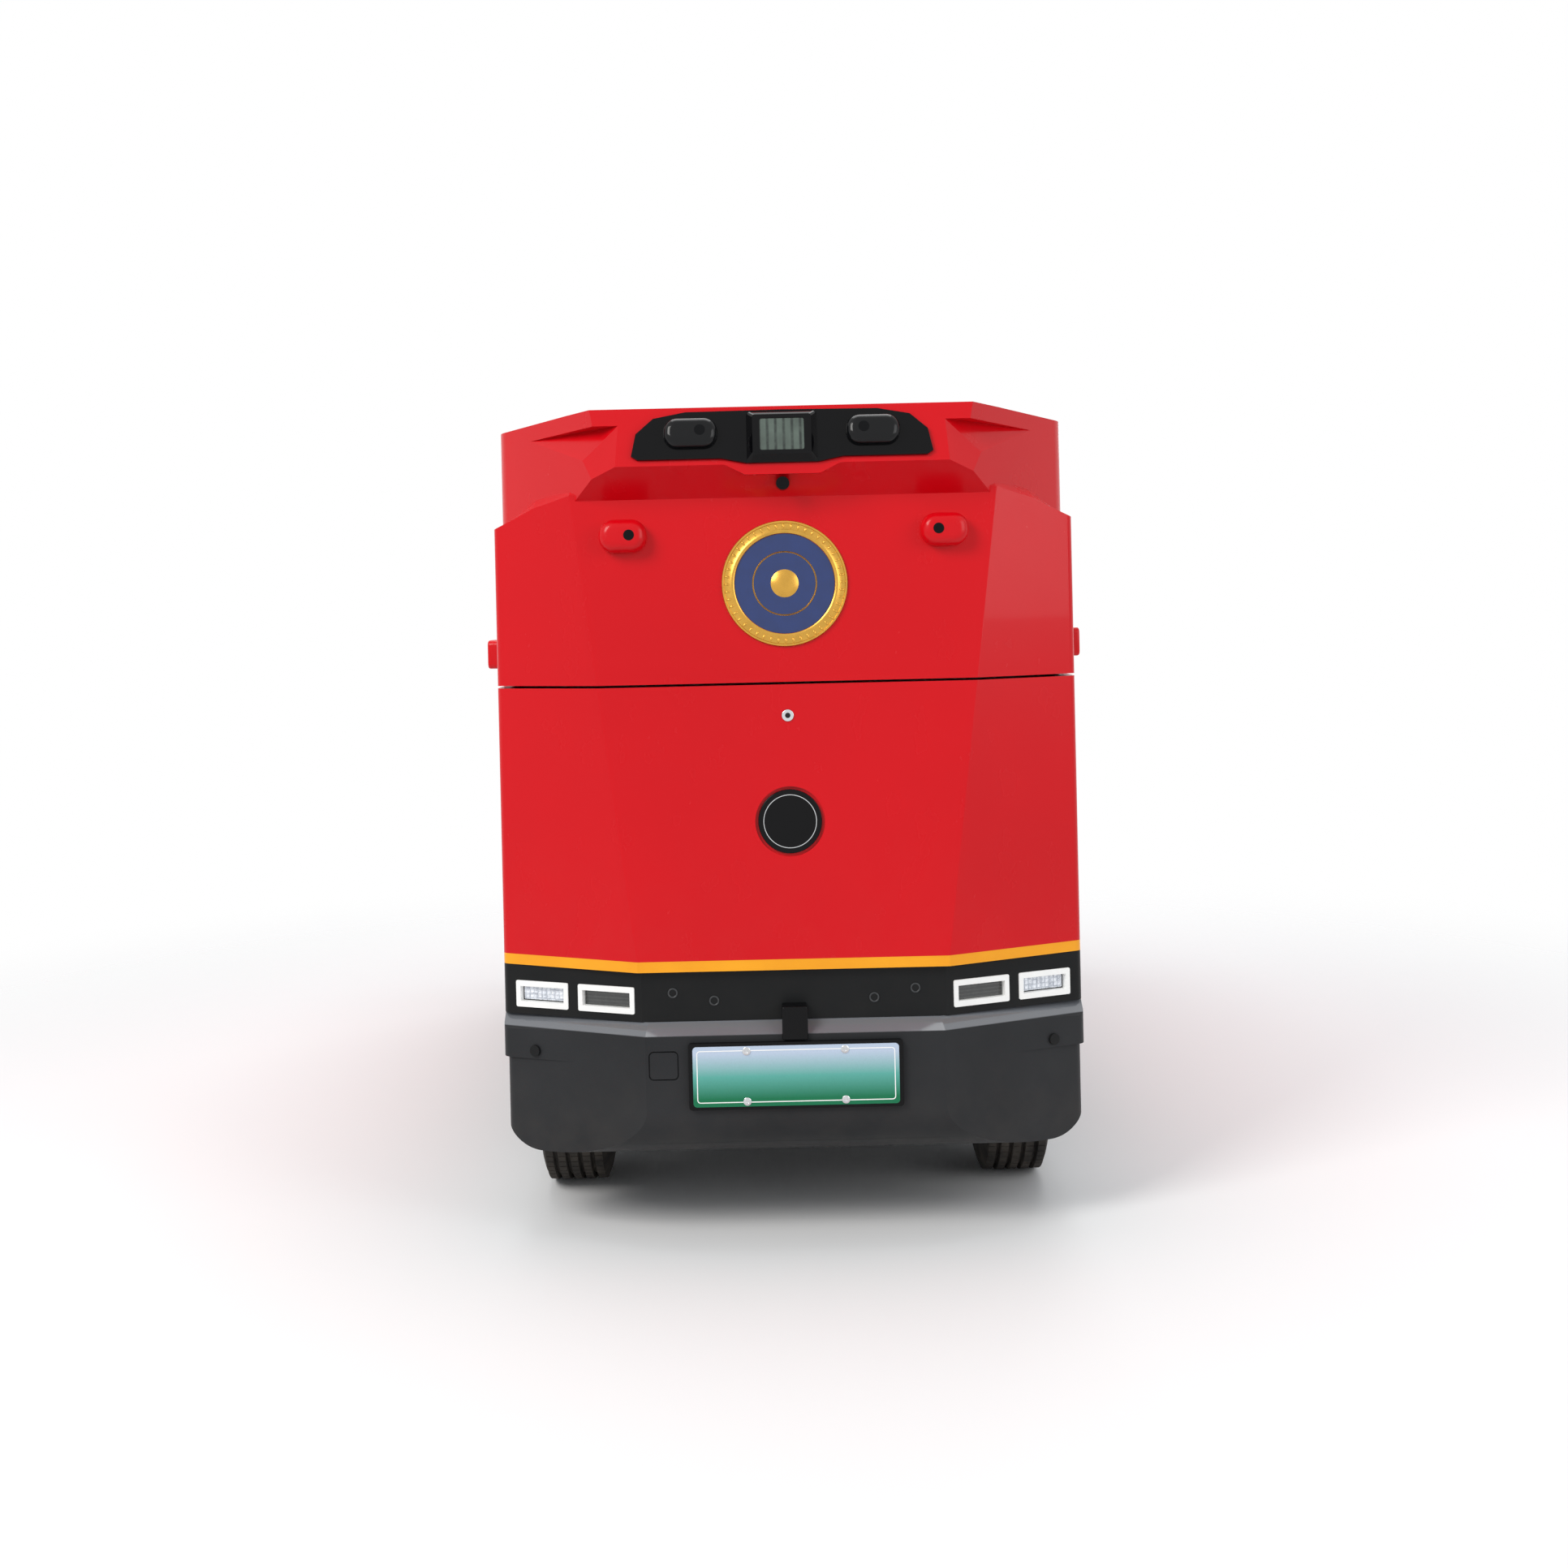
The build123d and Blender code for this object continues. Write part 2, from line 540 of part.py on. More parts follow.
with BuildPart() as front_bumper:
    extrude(
        plan_face(GROUND_CLEARANCE, bumper_plan(), [(1, BUMPER_EDGE_ROUND), (4, BUMPER_EDGE_ROUND)]),
        amount=Z_BAND - GROUND_CLEARANCE,
    )
    for side_name, side in SIDES:
        rib_plan = [
            (side * BUMPER_RIB_START, bumper_side_y(BUMPER_RIB_START)),
            (side * HALF, bumper_side_y(HALF - BUMPER_SIDE_INSET) - BUMPER_SIDE_INSET / 2),
            (side * HALF, Y_FRONT + BUMPER_DEPTH),
            (side * BUMPER_RIB_START, Y_FRONT + BUMPER_DEPTH),
        ]
        extrude(
            plan_face(Z_BAND - BUMPER_RIB_HEIGHT - LEDGE_RISE, rib_plan, [(1, BUMPER_EDGE_ROUND)]),
            amount=BUMPER_RIB_HEIGHT + LEDGE_RISE,
        )
    for a, b, c in LEDGE_PLANES:
        add(beyond(a, b, c), mode=Mode.SUBTRACT)
    with BuildSketch(Plane.YZ.offset(-HALF)) as under_profile:
        with Locations((Y_FRONT + BUMPER_DEPTH / 2 + OVERCUT / 2, (GROUND_CLEARANCE + Z_BAND) / 2)):
            Rectangle(BUMPER_DEPTH + OVERCUT, Z_BAND - GROUND_CLEARANCE)
        low_front = under_profile.vertices().group_by(Axis.Y)[0].sort_by(Axis.X)[0]
        fillet(low_front, BUMPER_UNDER_ROUND)
    extrude(amount=BODY_WIDTH, mode=Mode.INTERSECT)
    with BuildSketch(bumper_front_plane.offset(OVERCUT)) as corner_profile:
        with Locations((0, (GROUND_CLEARANCE + Z_BAND) / 2)):
            Rectangle(BODY_WIDTH, Z_BAND - GROUND_CLEARANCE)
        fillet(corner_profile.vertices().group_by(Axis.Y)[0], BUMPER_CORNER_ROUND)
    extrude(amount=-BUMPER_DEPTH - 3 * OVERCUT, mode=Mode.INTERSECT)
    extrude(
        plan_face(GROUND_CLEARANCE + BUMPER_WALL, bumper_plan(BUMPER_WALL, OVERCUT)),
        amount=BUMPER_FACE - 2 * BUMPER_WALL,
        mode=Mode.SUBTRACT,
    )
    extrude(
        plan_face(Z_LEDGE - BUMPER_WALL - OVERCUT, bumper_plan(LEDGE_FLANGE, OVERCUT)),
        amount=BUMPER_WALL + LEDGE_RISE + 2 * OVERCUT,
        mode=Mode.SUBTRACT,
    )
    add(wheel_space(Y_FRONT_AXLE, ARCH_RADIUS + LINER_WALL + SEAT_GAP), mode=Mode.SUBTRACT)
    with BuildSketch(bumper_front_plane):
        with Locations((TOW_X, TOW_Z)):
            RectangleRounded(TOW_WIDTH, TOW_HEIGHT, TOW_ROUND)
            RectangleRounded(
                TOW_WIDTH - 2 * TOW_GROOVE, TOW_HEIGHT - 2 * TOW_GROOVE, TOW_ROUND - TOW_GROOVE, mode=Mode.SUBTRACT
            )
    extrude(amount=-TOW_DEPTH, mode=Mode.SUBTRACT)
    with BuildSketch(bumper_front_plane):
        with Locations((0, BRACKET_BASE + BRACKET_HEIGHT / 2)):
            Rectangle(BRACKET_WIDTH, BRACKET_HEIGHT)
    extrude(amount=-BUMPER_WALL, mode=Mode.SUBTRACT)
    for side_name, side in SIDES:
        with BuildSketch(bumper_facet(side * CORNER_SENSOR_X, CORNER_SENSOR_Z).offset(OVERCUT)):
            Circle(CORNER_SENSOR_DIAMETER / 2)
        extrude(amount=-OVERCUT - SENSOR_DEPTH, mode=Mode.SUBTRACT)
save(front_bumper, "front_bumper")

with BuildPart() as plate_backing:
    with BuildSketch(bumper_front_plane):
        with Locations((0, PLATE_Z)):
            RectangleRounded(BACKING_WIDTH, BACKING_HEIGHT, 8)
    extrude(amount=BACKING_THICKNESS)
save(plate_backing, "plate_backing")

with BuildPart() as front_plate:
    with BuildSketch(bumper_front_plane.offset(BACKING_THICKNESS)):
        with Locations((0, PLATE_Z)):
            RectangleRounded(PLATE_WIDTH, PLATE_HEIGHT, 9)
    extrude(amount=PLATE_THICKNESS)
save(front_plate, "front_plate")

with BuildPart() as bumper_bracket:
    with BuildSketch(bumper_front_plane.offset(-BUMPER_WALL)):
        with Locations((0, BRACKET_BASE + BRACKET_HEIGHT / 2)):
            RectangleRounded(BRACKET_WIDTH, BRACKET_HEIGHT, 5)
    extrude(amount=BUMPER_WALL + BACKING_THICKNESS)
    front_edges = bumper_bracket.faces().sort_by(Axis.Y)[0].edges()
    fillet(front_edges, 4)
save(bumper_bracket, "bumper_bracket")

# Lamp band between the bumper's ledge and the stripe, with a pocket for each lamp

BAND_WALL = 62.0
LAMP_Z = 575.0
LAMP_HEIGHT = 64.0
LAMP_ROUND = 4.0
LAMP_POCKET_DEPTH = 48.0
BEZEL_PROUD = 3.0
BEZEL_DEPTH = 16.0
WINDOW_INSET_X = 12.0
WINDOW_INSET_Z = 14.0
# Name, distance of its middle from the centre line, width across the facet
LAMPS = (("inner", 444.0, 150.0), ("outer", 603.0, 142.0))
BAND_SENSOR_DIAMETER = 20.0
# Distance from the centre line and height of each round sensor in the band
BAND_SENSORS = ((285.0, 593.0), (188.0, 573.0))


def band_plan(inset=0.0, back=0.0):
    """Plan outline of the lamp band, moved in by inset."""
    return front_plan(
        Y_FRONT + BAND_SETBACK, BAND_FACET_HALF, Y_CORNER, HALF, inset, Y_FRONT + BUMPER_DEPTH + back
    )


def lamp_plane(x):
    """A plane on the band's swept facet at lamp height."""
    return facet_plane(Y_FRONT + BAND_SETBACK, BAND_FACET_HALF, Y_CORNER, HALF, x, LAMP_Z)


band_front_plane = Plane(origin=(0, Y_FRONT + BAND_SETBACK, 0), x_dir=(1, 0, 0), z_dir=(0, -1, 0))

with BuildPart() as lamp_band:
    extrude(
        plan_face(Z_BAND, band_plan(), [(1, NOSE_CORNER_ROUND), (4, NOSE_CORNER_ROUND)]),
        amount=BAND_HEIGHT,
    )
    extrude(
        plan_face(Z_BAND - OVERCUT, band_plan(BAND_WALL, OVERCUT)),
        amount=BAND_HEIGHT + 2 * OVERCUT,
        mode=Mode.SUBTRACT,
    )
    add(wheel_space(Y_FRONT_AXLE, ARCH_RADIUS + LINER_WALL + SEAT_GAP), mode=Mode.SUBTRACT)
    for side_name, side in SIDES:
        for lamp_name, lamp_x, lamp_width in LAMPS:
            with BuildSketch(lamp_plane(side * lamp_x).offset(OVERCUT)):
                RectangleRounded(lamp_width, LAMP_HEIGHT, LAMP_ROUND)
            extrude(amount=-OVERCUT - LAMP_POCKET_DEPTH, mode=Mode.SUBTRACT)
        for sensor_x, sensor_z in BAND_SENSORS:
            with BuildSketch(band_front_plane):
                with Locations((side * sensor_x, sensor_z)):
                    Circle(BAND_SENSOR_DIAMETER / 2)
            extrude(amount=-SENSOR_DEPTH, mode=Mode.SUBTRACT)
    with BuildSketch(band_front_plane):
        with Locations((0, BRACKET_BASE + BRACKET_HEIGHT / 2)):
            Rectangle(BRACKET_WIDTH, BRACKET_HEIGHT)
    extrude(amount=BAND_SETBACK, mode=Mode.SUBTRACT)
save(lamp_band, "lamp_band")

with BuildPart() as lamp_bezels:
    for side_name, side in SIDES:
        for lamp_name, lamp_x, lamp_width in LAMPS:
            with BuildSketch(lamp_plane(side * lamp_x).offset(BEZEL_PROUD)):
                RectangleRounded(lamp_width - 2 * SEAT_GAP, LAMP_HEIGHT - 2 * SEAT_GAP, LAMP_ROUND)
                Rectangle(lamp_width - 2 * WINDOW_INSET_X, LAMP_HEIGHT - 2 * WINDOW_INSET_Z, mode=Mode.SUBTRACT)
            extrude(amount=-BEZEL_DEPTH)
save(lamp_bezels, "lamp_bezels")

with BuildPart() as lamp_lenses:
    for side_name, side in SIDES:
        for lamp_name, lamp_x, lamp_width in LAMPS:
            with BuildSketch(lamp_plane(side * lamp_x).offset(BEZEL_PROUD - BEZEL_DEPTH)):
                Rectangle(lamp_width - 2 * WINDOW_INSET_X + 6, LAMP_HEIGHT - 2 * WINDOW_INSET_Z + 6)
            extrude(amount=BEZEL_DEPTH - BEZEL_PROUD - LAMP_POCKET_DEPTH)
save(lamp_lenses, "lamp_lenses")

with BuildPart() as round_sensors:
    for side_name, side in SIDES:
        with BuildSketch(bumper_facet(side * CORNER_SENSOR_X, CORNER_SENSOR_Z).offset(-SENSOR_DEPTH)):
            Circle(CORNER_SENSOR_DIAMETER / 2 - SEAT_GAP)
        extrude(amount=SENSOR_DEPTH + BUMPER_SIDE_INSET + SENSOR_PROUD)
        for sensor_x, sensor_z in BAND_SENSORS:
            with BuildSketch(band_front_plane.offset(-SENSOR_DEPTH)):
                with Locations((side * sensor_x, sensor_z)):
                    Circle(BAND_SENSOR_DIAMETER / 2 - SEAT_GAP)
            extrude(amount=SENSOR_DEPTH + SENSOR_PROUD)
save(round_sensors, "round_sensors")

# Floor slab: its deck lies between the walls, level with the doorway's sill, and has four tie-down holes.
# The stripe runs round the slab's edge.

TIE_DOWN_RADIUS = 6.5
TIE_DOWN_SPACING_X = 1000.0
TIE_DOWN_SPACING_Y = 1400.0
TIE_DOWN_Y = 200.0
DECK_GAP = 2.0
DECK_FRONT_Y = Y_NOSE_BACK + BULKHEAD_THICKNESS + DECK_GAP
DECK_BACK_Y = Y_PORTAL - DECK_GAP
Z_DECK = Z_FLOOR_LOW + PORTAL_SILL

with BuildPart() as floor_slab:
    extrude(plan_face(Z_FLOOR_LOW, nose_plan(Z_FLOOR, STRIPE_THICKNESS, Y_PORTAL)), amount=STRIPE_HEIGHT)
    with BuildSketch(Plane.XY.offset(Z_FLOOR)):
        with Locations((0, (DECK_FRONT_Y + DECK_BACK_Y) / 2)):
            Rectangle(BODY_WIDTH - 2 * WALL - 2 * DECK_GAP, DECK_BACK_Y - DECK_FRONT_Y)
    extrude(amount=Z_DECK - Z_FLOOR)
    with BuildSketch(Plane.XY.offset(Z_DECK)):
        with Locations((0, TIE_DOWN_Y)):
            with GridLocations(TIE_DOWN_SPACING_X, TIE_DOWN_SPACING_Y, 2, 2):
                Circle(TIE_DOWN_RADIUS)
    extrude(amount=Z_FLOOR_LOW - Z_DECK, mode=Mode.SUBTRACT)
save(floor_slab, "floor_slab")

with BuildPart() as trim_stripe:
    extrude(
        plan_face(
            Z_FLOOR_LOW, nose_plan(Z_FLOOR, 0.0, Y_PORTAL), [(1, NOSE_CORNER_ROUND), (4, NOSE_CORNER_ROUND)]
        ),
        amount=STRIPE_HEIGHT,
    )
    extrude(
        plan_face(Z_FLOOR_LOW, nose_plan(Z_FLOOR, STRIPE_THICKNESS, Y_PORTAL + OVERCUT)),
        amount=STRIPE_HEIGHT,
        mode=Mode.SUBTRACT,
    )
save(trim_stripe, "trim_stripe")

# Box body: walls, roof, bulkhead and the rear portal

BOX_LENGTH = Y_PORTAL - Y_NOSE_BACK
SIDE_HEIGHT = Z_ROOF_LOW - Z_FLOOR

for side_name, side in SIDES:
    with BuildPart() as side_wall:
        with BuildSketch(Plane.XY.offset(Z_FLOOR)):
            with Locations((side * (HALF - WALL / 2), Y_NOSE_BACK + BOX_LENGTH / 2)):
                Rectangle(WALL, BOX_LENGTH)
        extrude(amount=SIDE_HEIGHT)
        with BuildSketch(Plane.XY.offset(Z_SEAM)):
            with Locations((side * (HALF - SIDE_GROOVE_DEPTH / 2), Y_NOSE_BACK + BOX_LENGTH / 2)):
                Rectangle(SIDE_GROOVE_DEPTH, BOX_LENGTH)
        extrude(amount=PANEL_SEAM, mode=Mode.SUBTRACT)
    save(side_wall, f"side_wall_{side_name}")




with BuildPart() as cargo_roof:
    with BuildSketch(Plane.XZ.offset(-Y_NOSE_BACK)):
        with Locations((0, (Z_ROOF_LOW + Z_ROOF) / 2)):
            Rectangle(BODY_WIDTH, ROOF_THICKNESS)
    extrude(amount=-BOX_LENGTH)
    fillet(cargo_roof.edges().filter_by(Axis.Y).group_by(Axis.Z)[-1], ROOF_THICKNESS - 3)
save(cargo_roof, "cargo_roof")

with BuildPart() as cargo_bulkhead:
    with BuildSketch(Plane.XY.offset(Z_FLOOR)):
        with Locations((0, Y_NOSE_BACK + BULKHEAD_THICKNESS / 2)):
            Rectangle(BODY_WIDTH - 2 * WALL, BULKHEAD_THICKNESS)
    extrude(amount=SIDE_HEIGHT)
save(cargo_bulkhead, "cargo_bulkhead")

# Rear doors, hung at the outer edges of the portal

DOOR_LOW = Z_FLOOR_LOW + PORTAL_SILL + DOOR_GAP
DOOR_HIGH = Z_ROOF - PORTAL_HEADER - DOOR_GAP
DOOR_OUTER_X = HALF - PORTAL_JAMB - DOOR_GAP
HINGE_X = DOOR_OUTER_X
HINGE_Y = Y_PORTAL + PORTAL_DEPTH + 8.0
HINGE_RADIUS = 7.0
HINGE_HEIGHT = 90.0
HINGE_KNUCKLE = 36.0
HINGE_LEAF_WIDTH = 46.0
HINGE_LEAF_THICKNESS = 4.0
HINGE_LEVELS = (DOOR_LOW + 140.0, (DOOR_LOW + DOOR_HIGH) / 2, DOOR_HIGH - 140.0)
DOOR_FACE_Y = Y_PORTAL + PORTAL_DEPTH
DOOR_RECESS = 6.0
DOOR_RECESS_MARGIN = 70.0
HANDLE_HEIGHT = 220.0
HANDLE_WIDTH = 34.0
HANDLE_ROUND = 10.0
HANDLE_PLATE = 5.0
GRIP_WIDTH = 16.0
GRIP_HALF = 60.0
GRIP_SLOPE = 20.0
HANDLE_X = 40.0
HANDLE_Z = 1180.0

with BuildPart() as rear_portal:
    with BuildSketch(Plane.XY.offset(Z_FLOOR_LOW)):
        with Locations((0, Y_PORTAL + PORTAL_DEPTH / 2)):
            Rectangle(BODY_WIDTH, PORTAL_DEPTH)
    extrude(amount=Z_ROOF - Z_FLOOR_LOW)
    fillet(rear_portal.edges().filter_by(Axis.Y).group_by(Axis.Z)[-1], ROOF_THICKNESS - 3)
    with BuildSketch(Plane.XY.offset(Z_FLOOR_LOW + PORTAL_SILL)):
        with Locations((0, Y_PORTAL + PORTAL_DEPTH / 2)):
            Rectangle(BODY_WIDTH - 2 * PORTAL_JAMB, PORTAL_DEPTH)
    extrude(amount=Z_ROOF - PORTAL_HEADER - Z_FLOOR_LOW - PORTAL_SILL, mode=Mode.SUBTRACT)
    for side_name, side in SIDES:
        for hinge_z in HINGE_LEVELS:
            for low, high in (
                (hinge_z - HINGE_HEIGHT / 2, hinge_z - HINGE_KNUCKLE / 2 - SEAT_GAP),
                (hinge_z + HINGE_KNUCKLE / 2 + SEAT_GAP, hinge_z + HINGE_HEIGHT / 2),
            ):
                with BuildSketch(Plane.XY.offset(low)):
                    with Locations((side * HINGE_X, HINGE_Y)):
                        Circle(HINGE_RADIUS)
                    with Locations((side * (HINGE_X + HINGE_LEAF_WIDTH / 2), DOOR_FACE_Y + HINGE_LEAF_THICKNESS / 2)):
                        Rectangle(HINGE_LEAF_WIDTH, HINGE_LEAF_THICKNESS)
                extrude(amount=high - low)
            with BuildSketch(Plane.XY.offset(hinge_z - HINGE_HEIGHT / 2)):
                with Locations((side * (HINGE_X + HINGE_RADIUS + DOOR_GAP / 2 + HINGE_LEAF_WIDTH / 2),
                                DOOR_FACE_Y + HINGE_LEAF_THICKNESS / 2)):
                    Rectangle(HINGE_LEAF_WIDTH, HINGE_LEAF_THICKNESS)
            extrude(amount=HINGE_HEIGHT)
save(rear_portal, "rear_portal")

for side_name, side in SIDES:
    with BuildPart() as rear_door:
        door_width = DOOR_OUTER_X - DOOR_GAP / 2
        door_middle = side * (DOOR_OUTER_X + DOOR_GAP / 2) / 2
        with BuildSketch(Plane.XY.offset(DOOR_LOW)):
            with Locations((door_middle, DOOR_FACE_Y - DOOR_THICKNESS / 2)):
                Rectangle(door_width, DOOR_THICKNESS)
        extrude(amount=DOOR_HIGH - DOOR_LOW)
        fillet(rear_door.edges().filter_by(Axis.Z).group_by(Axis.Y)[-1], 3)
        with BuildSketch(Plane.XZ.offset(-DOOR_FACE_Y)):
            with Locations((door_middle, (DOOR_LOW + DOOR_HIGH) / 2)):
                RectangleRounded(door_width - 2 * DOOR_RECESS_MARGIN, DOOR_HIGH - DOOR_LOW - 2 * DOOR_RECESS_MARGIN, 24)
        extrude(amount=DOOR_RECESS, mode=Mode.SUBTRACT)
        for hinge_z in HINGE_LEVELS:
            with BuildSketch(Plane.XY.offset(hinge_z - HINGE_KNUCKLE / 2)):
                with Locations((side * HINGE_X, HINGE_Y)):
                    Circle(HINGE_RADIUS)
                with Locations((side * (HINGE_X - HINGE_LEAF_WIDTH / 2), DOOR_FACE_Y + HINGE_LEAF_THICKNESS / 2)):
                    Rectangle(HINGE_LEAF_WIDTH, HINGE_LEAF_THICKNESS)
            extrude(amount=HINGE_KNUCKLE)
    save(rear_door, f"rear_door_{side_name}")

with BuildPart() as door_handle:
    with BuildSketch(Plane.XZ.offset(-DOOR_FACE_Y)):
        with Locations((-HANDLE_X, HANDLE_Z)):
            RectangleRounded(HANDLE_WIDTH, HANDLE_HEIGHT, HANDLE_ROUND)
    extrude(amount=-HANDLE_PLATE)
    with BuildSketch(Plane.YZ.offset(-HANDLE_X - GRIP_WIDTH / 2)):
        with BuildLine():
            Polyline(
                (DOOR_FACE_Y + HANDLE_PLATE, HANDLE_Z - GRIP_HALF - GRIP_SLOPE),
                (DOOR_FACE_Y + DOOR_SETBACK - 1, HANDLE_Z - GRIP_HALF),
                (DOOR_FACE_Y + DOOR_SETBACK - 1, HANDLE_Z + GRIP_HALF),
                (DOOR_FACE_Y + HANDLE_PLATE, HANDLE_Z + GRIP_HALF + GRIP_SLOPE),
                close=True,
            )
        make_face()
    extrude(amount=GRIP_WIDTH)
save(door_handle, "door_handle")

# Tail lamps on the portal's jambs

TAIL_LAMP_WIDTH = 44.0
TAIL_LAMP_HEIGHT = 240.0
TAIL_LAMP_Z = 1060.0
TAIL_LAMP_DEPTH = 8.0

with BuildPart() as tail_lamps:
    for side_name, side in SIDES:
        with BuildSketch(Plane.XZ.offset(-DOOR_FACE_Y)):
            with Locations((side * (HALF - PORTAL_JAMB / 2), TAIL_LAMP_Z)):
                RectangleRounded(TAIL_LAMP_WIDTH, TAIL_LAMP_HEIGHT, 10)
        extrude(amount=-TAIL_LAMP_DEPTH)
save(tail_lamps, "tail_lamps")

# Rear bumper, skirts and arch liners

REAR_BUMPER_FORWARD = 352.0
REAR_BUMPER_ROUND = 45.0
REAR_BUMPER_WALL = 35.0
SKIRT_INSET = 6.0
SKIRT_END = 150.0

with BuildPart() as rear_bumper:
    with BuildSketch(Plane.XY.offset(SKIRT_BASE)):
        with Locations((0, Y_REAR - REAR_BUMPER_FORWARD / 2)):
            Rectangle(BODY_WIDTH, REAR_BUMPER_FORWARD)
    extrude(amount=Z_FLOOR_LOW - SKIRT_BASE)
    fillet(rear_bumper.edges().filter_by(Axis.Z).group_by(Axis.Y)[-1], REAR_BUMPER_ROUND)
    fillet(rear_bumper.edges().group_by(Axis.Z)[0].sort_by(Axis.Y)[-1], REAR_BUMPER_ROUND / 2)
    with BuildSketch(Plane.XY.offset(SKIRT_BASE + REAR_BUMPER_WALL)):
        with Locations((0, Y_REAR - REAR_BUMPER_FORWARD / 2 - REAR_BUMPER_WALL)):
            Rectangle(BODY_WIDTH - 2 * REAR_BUMPER_WALL, REAR_BUMPER_FORWARD)
    extrude(amount=Z_FLOOR_LOW - SKIRT_BASE, mode=Mode.SUBTRACT)
    add(wheel_space(Y_REAR_AXLE, ARCH_RADIUS + LINER_WALL + SEAT_GAP), mode=Mode.SUBTRACT)
save(rear_bumper, "rear_bumper")

with BuildPart() as side_skirts:
    for side_name, side in SIDES:
        with BuildSketch(Plane.XY.offset(SKIRT_BASE)):
            with Locations((side * (HALF - SKIRT_INSET - SKIRT_THICKNESS / 2), (Y_FRONT_AXLE + Y_REAR_AXLE) / 2)):
                Rectangle(SKIRT_THICKNESS, WHEELBASE - 2 * SKIRT_END)
        extrude(amount=Z_FLOOR_LOW - SKIRT_BASE)
    for axle_y in (Y_FRONT_AXLE, Y_REAR_AXLE):
        add(wheel_space(axle_y, ARCH_RADIUS + LINER_WALL + SEAT_GAP), mode=Mode.SUBTRACT)
save(side_skirts, "side_skirts")

LINER_INNER_X = 375.0
LINER_BASE = 300.0

with BuildPart() as arch_liners:
    for axle_y in (Y_FRONT_AXLE, Y_REAR_AXLE):
        for side_name, side in SIDES:
            with BuildSketch(Plane.YZ.offset(side * LINER_INNER_X)):
                with Locations((axle_y, WHEEL_Z)):
                    Circle(ARCH_RADIUS + LINER_WALL)
                    Circle(ARCH_RADIUS, mode=Mode.SUBTRACT)
                with Locations((axle_y, LINER_BASE - ARCH_RADIUS)):
                    Rectangle(4 * ARCH_RADIUS, 2 * ARCH_RADIUS, mode=Mode.SUBTRACT)
            extrude(amount=side * (HALF - STRIPE_THICKNESS - LINER_INNER_X))
save(arch_liners, "arch_liners")

# Chassis: rails, bearers, crash beam and battery

RAIL_FRONT_Y = Y_FRONT + BUMPER_DEPTH
RAIL_BACK_Y = Y_REAR - REAR_BUMPER_WALL
Z_RAIL_TOP = RAIL_BASE + RAIL_HEIGHT

with BuildPart() as chassis_rails:
    for side_name, side in SIDES:
        with BuildSketch(Plane.XZ.offset(-RAIL_FRONT_Y)):
            with Locations((side * RAIL_X, RAIL_BASE + RAIL_HEIGHT / 2)):
                Rectangle(RAIL_WIDTH, RAIL_HEIGHT)
            with Locations((side * (RAIL_X + RAIL_GAUGE), RAIL_BASE + RAIL_HEIGHT / 2)):
                Rectangle(RAIL_WIDTH, RAIL_HEIGHT - 2 * RAIL_GAUGE, mode=Mode.SUBTRACT)
        extrude(amount=RAIL_FRONT_Y - RAIL_BACK_Y)
save(chassis_rails, "chassis_rails")

CRASH_BEAM_HALF = 300.0
CRASH_BEAM_DEPTH = 60.0
CRASH_BEAM_HEIGHT = 110.0
CRASH_BEAM_TOP = Z_LEDGE - BUMPER_WALL - 5.0
CRASH_BOX_WIDTH = 50.0
BEARER_GAUGE = 6.0
BEARER_HALF = 640.0
AXLE_BEARER_HALF = 300.0
FRONT_BEARER_HALF = 430.0
FRONT_BEARER_REACH = 412.0
REAR_BEARER_REACH = 410.0
BEARER_PITCH = WHEELBASE / 5
# Place and half length of each bearer: those over the axles stop short of the arches
BEARERS = (
    (Y_FRONT_AXLE - FRONT_BEARER_REACH, FRONT_BEARER_HALF),
    (Y_FRONT_AXLE, AXLE_BEARER_HALF),
    (Y_FRONT_AXLE + BEARER_PITCH, BEARER_HALF),
    (Y_FRONT_AXLE + 2 * BEARER_PITCH, BEARER_HALF),
    (Y_REAR_AXLE - 2 * BEARER_PITCH, BEARER_HALF),
    (Y_REAR_AXLE - BEARER_PITCH, BEARER_HALF),
    (Y_REAR_AXLE, AXLE_BEARER_HALF),
    (Y_REAR_AXLE + REAR_BEARER_REACH, BEARER_HALF),
)

with BuildPart() as cross_members:
    for bearer_y, bearer_half in BEARERS:
        with BuildSketch(Plane.YZ.offset(-bearer_half)):
            with Locations((bearer_y, (Z_RAIL_TOP + Z_FLOOR_LOW) / 2)):
                Rectangle(BEARER_WIDTH, Z_FLOOR_LOW - Z_RAIL_TOP)
                Rectangle(
                    BEARER_WIDTH - 2 * BEARER_GAUGE,
                    Z_FLOOR_LOW - Z_RAIL_TOP - 2 * BEARER_GAUGE,
                    mode=Mode.SUBTRACT,
                )
        extrude(amount=2 * bearer_half)
    with BuildSketch(Plane.XY.offset(CRASH_BEAM_TOP - CRASH_BEAM_HEIGHT)):
        with Locations((0, Y_FRONT + BUMPER_WALL + CRASH_BEAM_DEPTH / 2)):
            Rectangle(2 * CRASH_BEAM_HALF, CRASH_BEAM_DEPTH)
    extrude(amount=CRASH_BEAM_HEIGHT)
    with BuildSketch(Plane.XY.offset(RAIL_BASE)):
        for side_name, side in SIDES:
            with Locations((side * RAIL_X, (Y_FRONT + BUMPER_WALL + RAIL_FRONT_Y) / 2)):
                Rectangle(CRASH_BOX_WIDTH, RAIL_FRONT_Y - Y_FRONT - BUMPER_WALL)
    extrude(amount=CRASH_BEAM_TOP - RAIL_BASE)
save(cross_members, "cross_members")

BATTERY_BASE = 320.0
BATTERY_END = 435.0
BATTERY_ROUND = 16.0

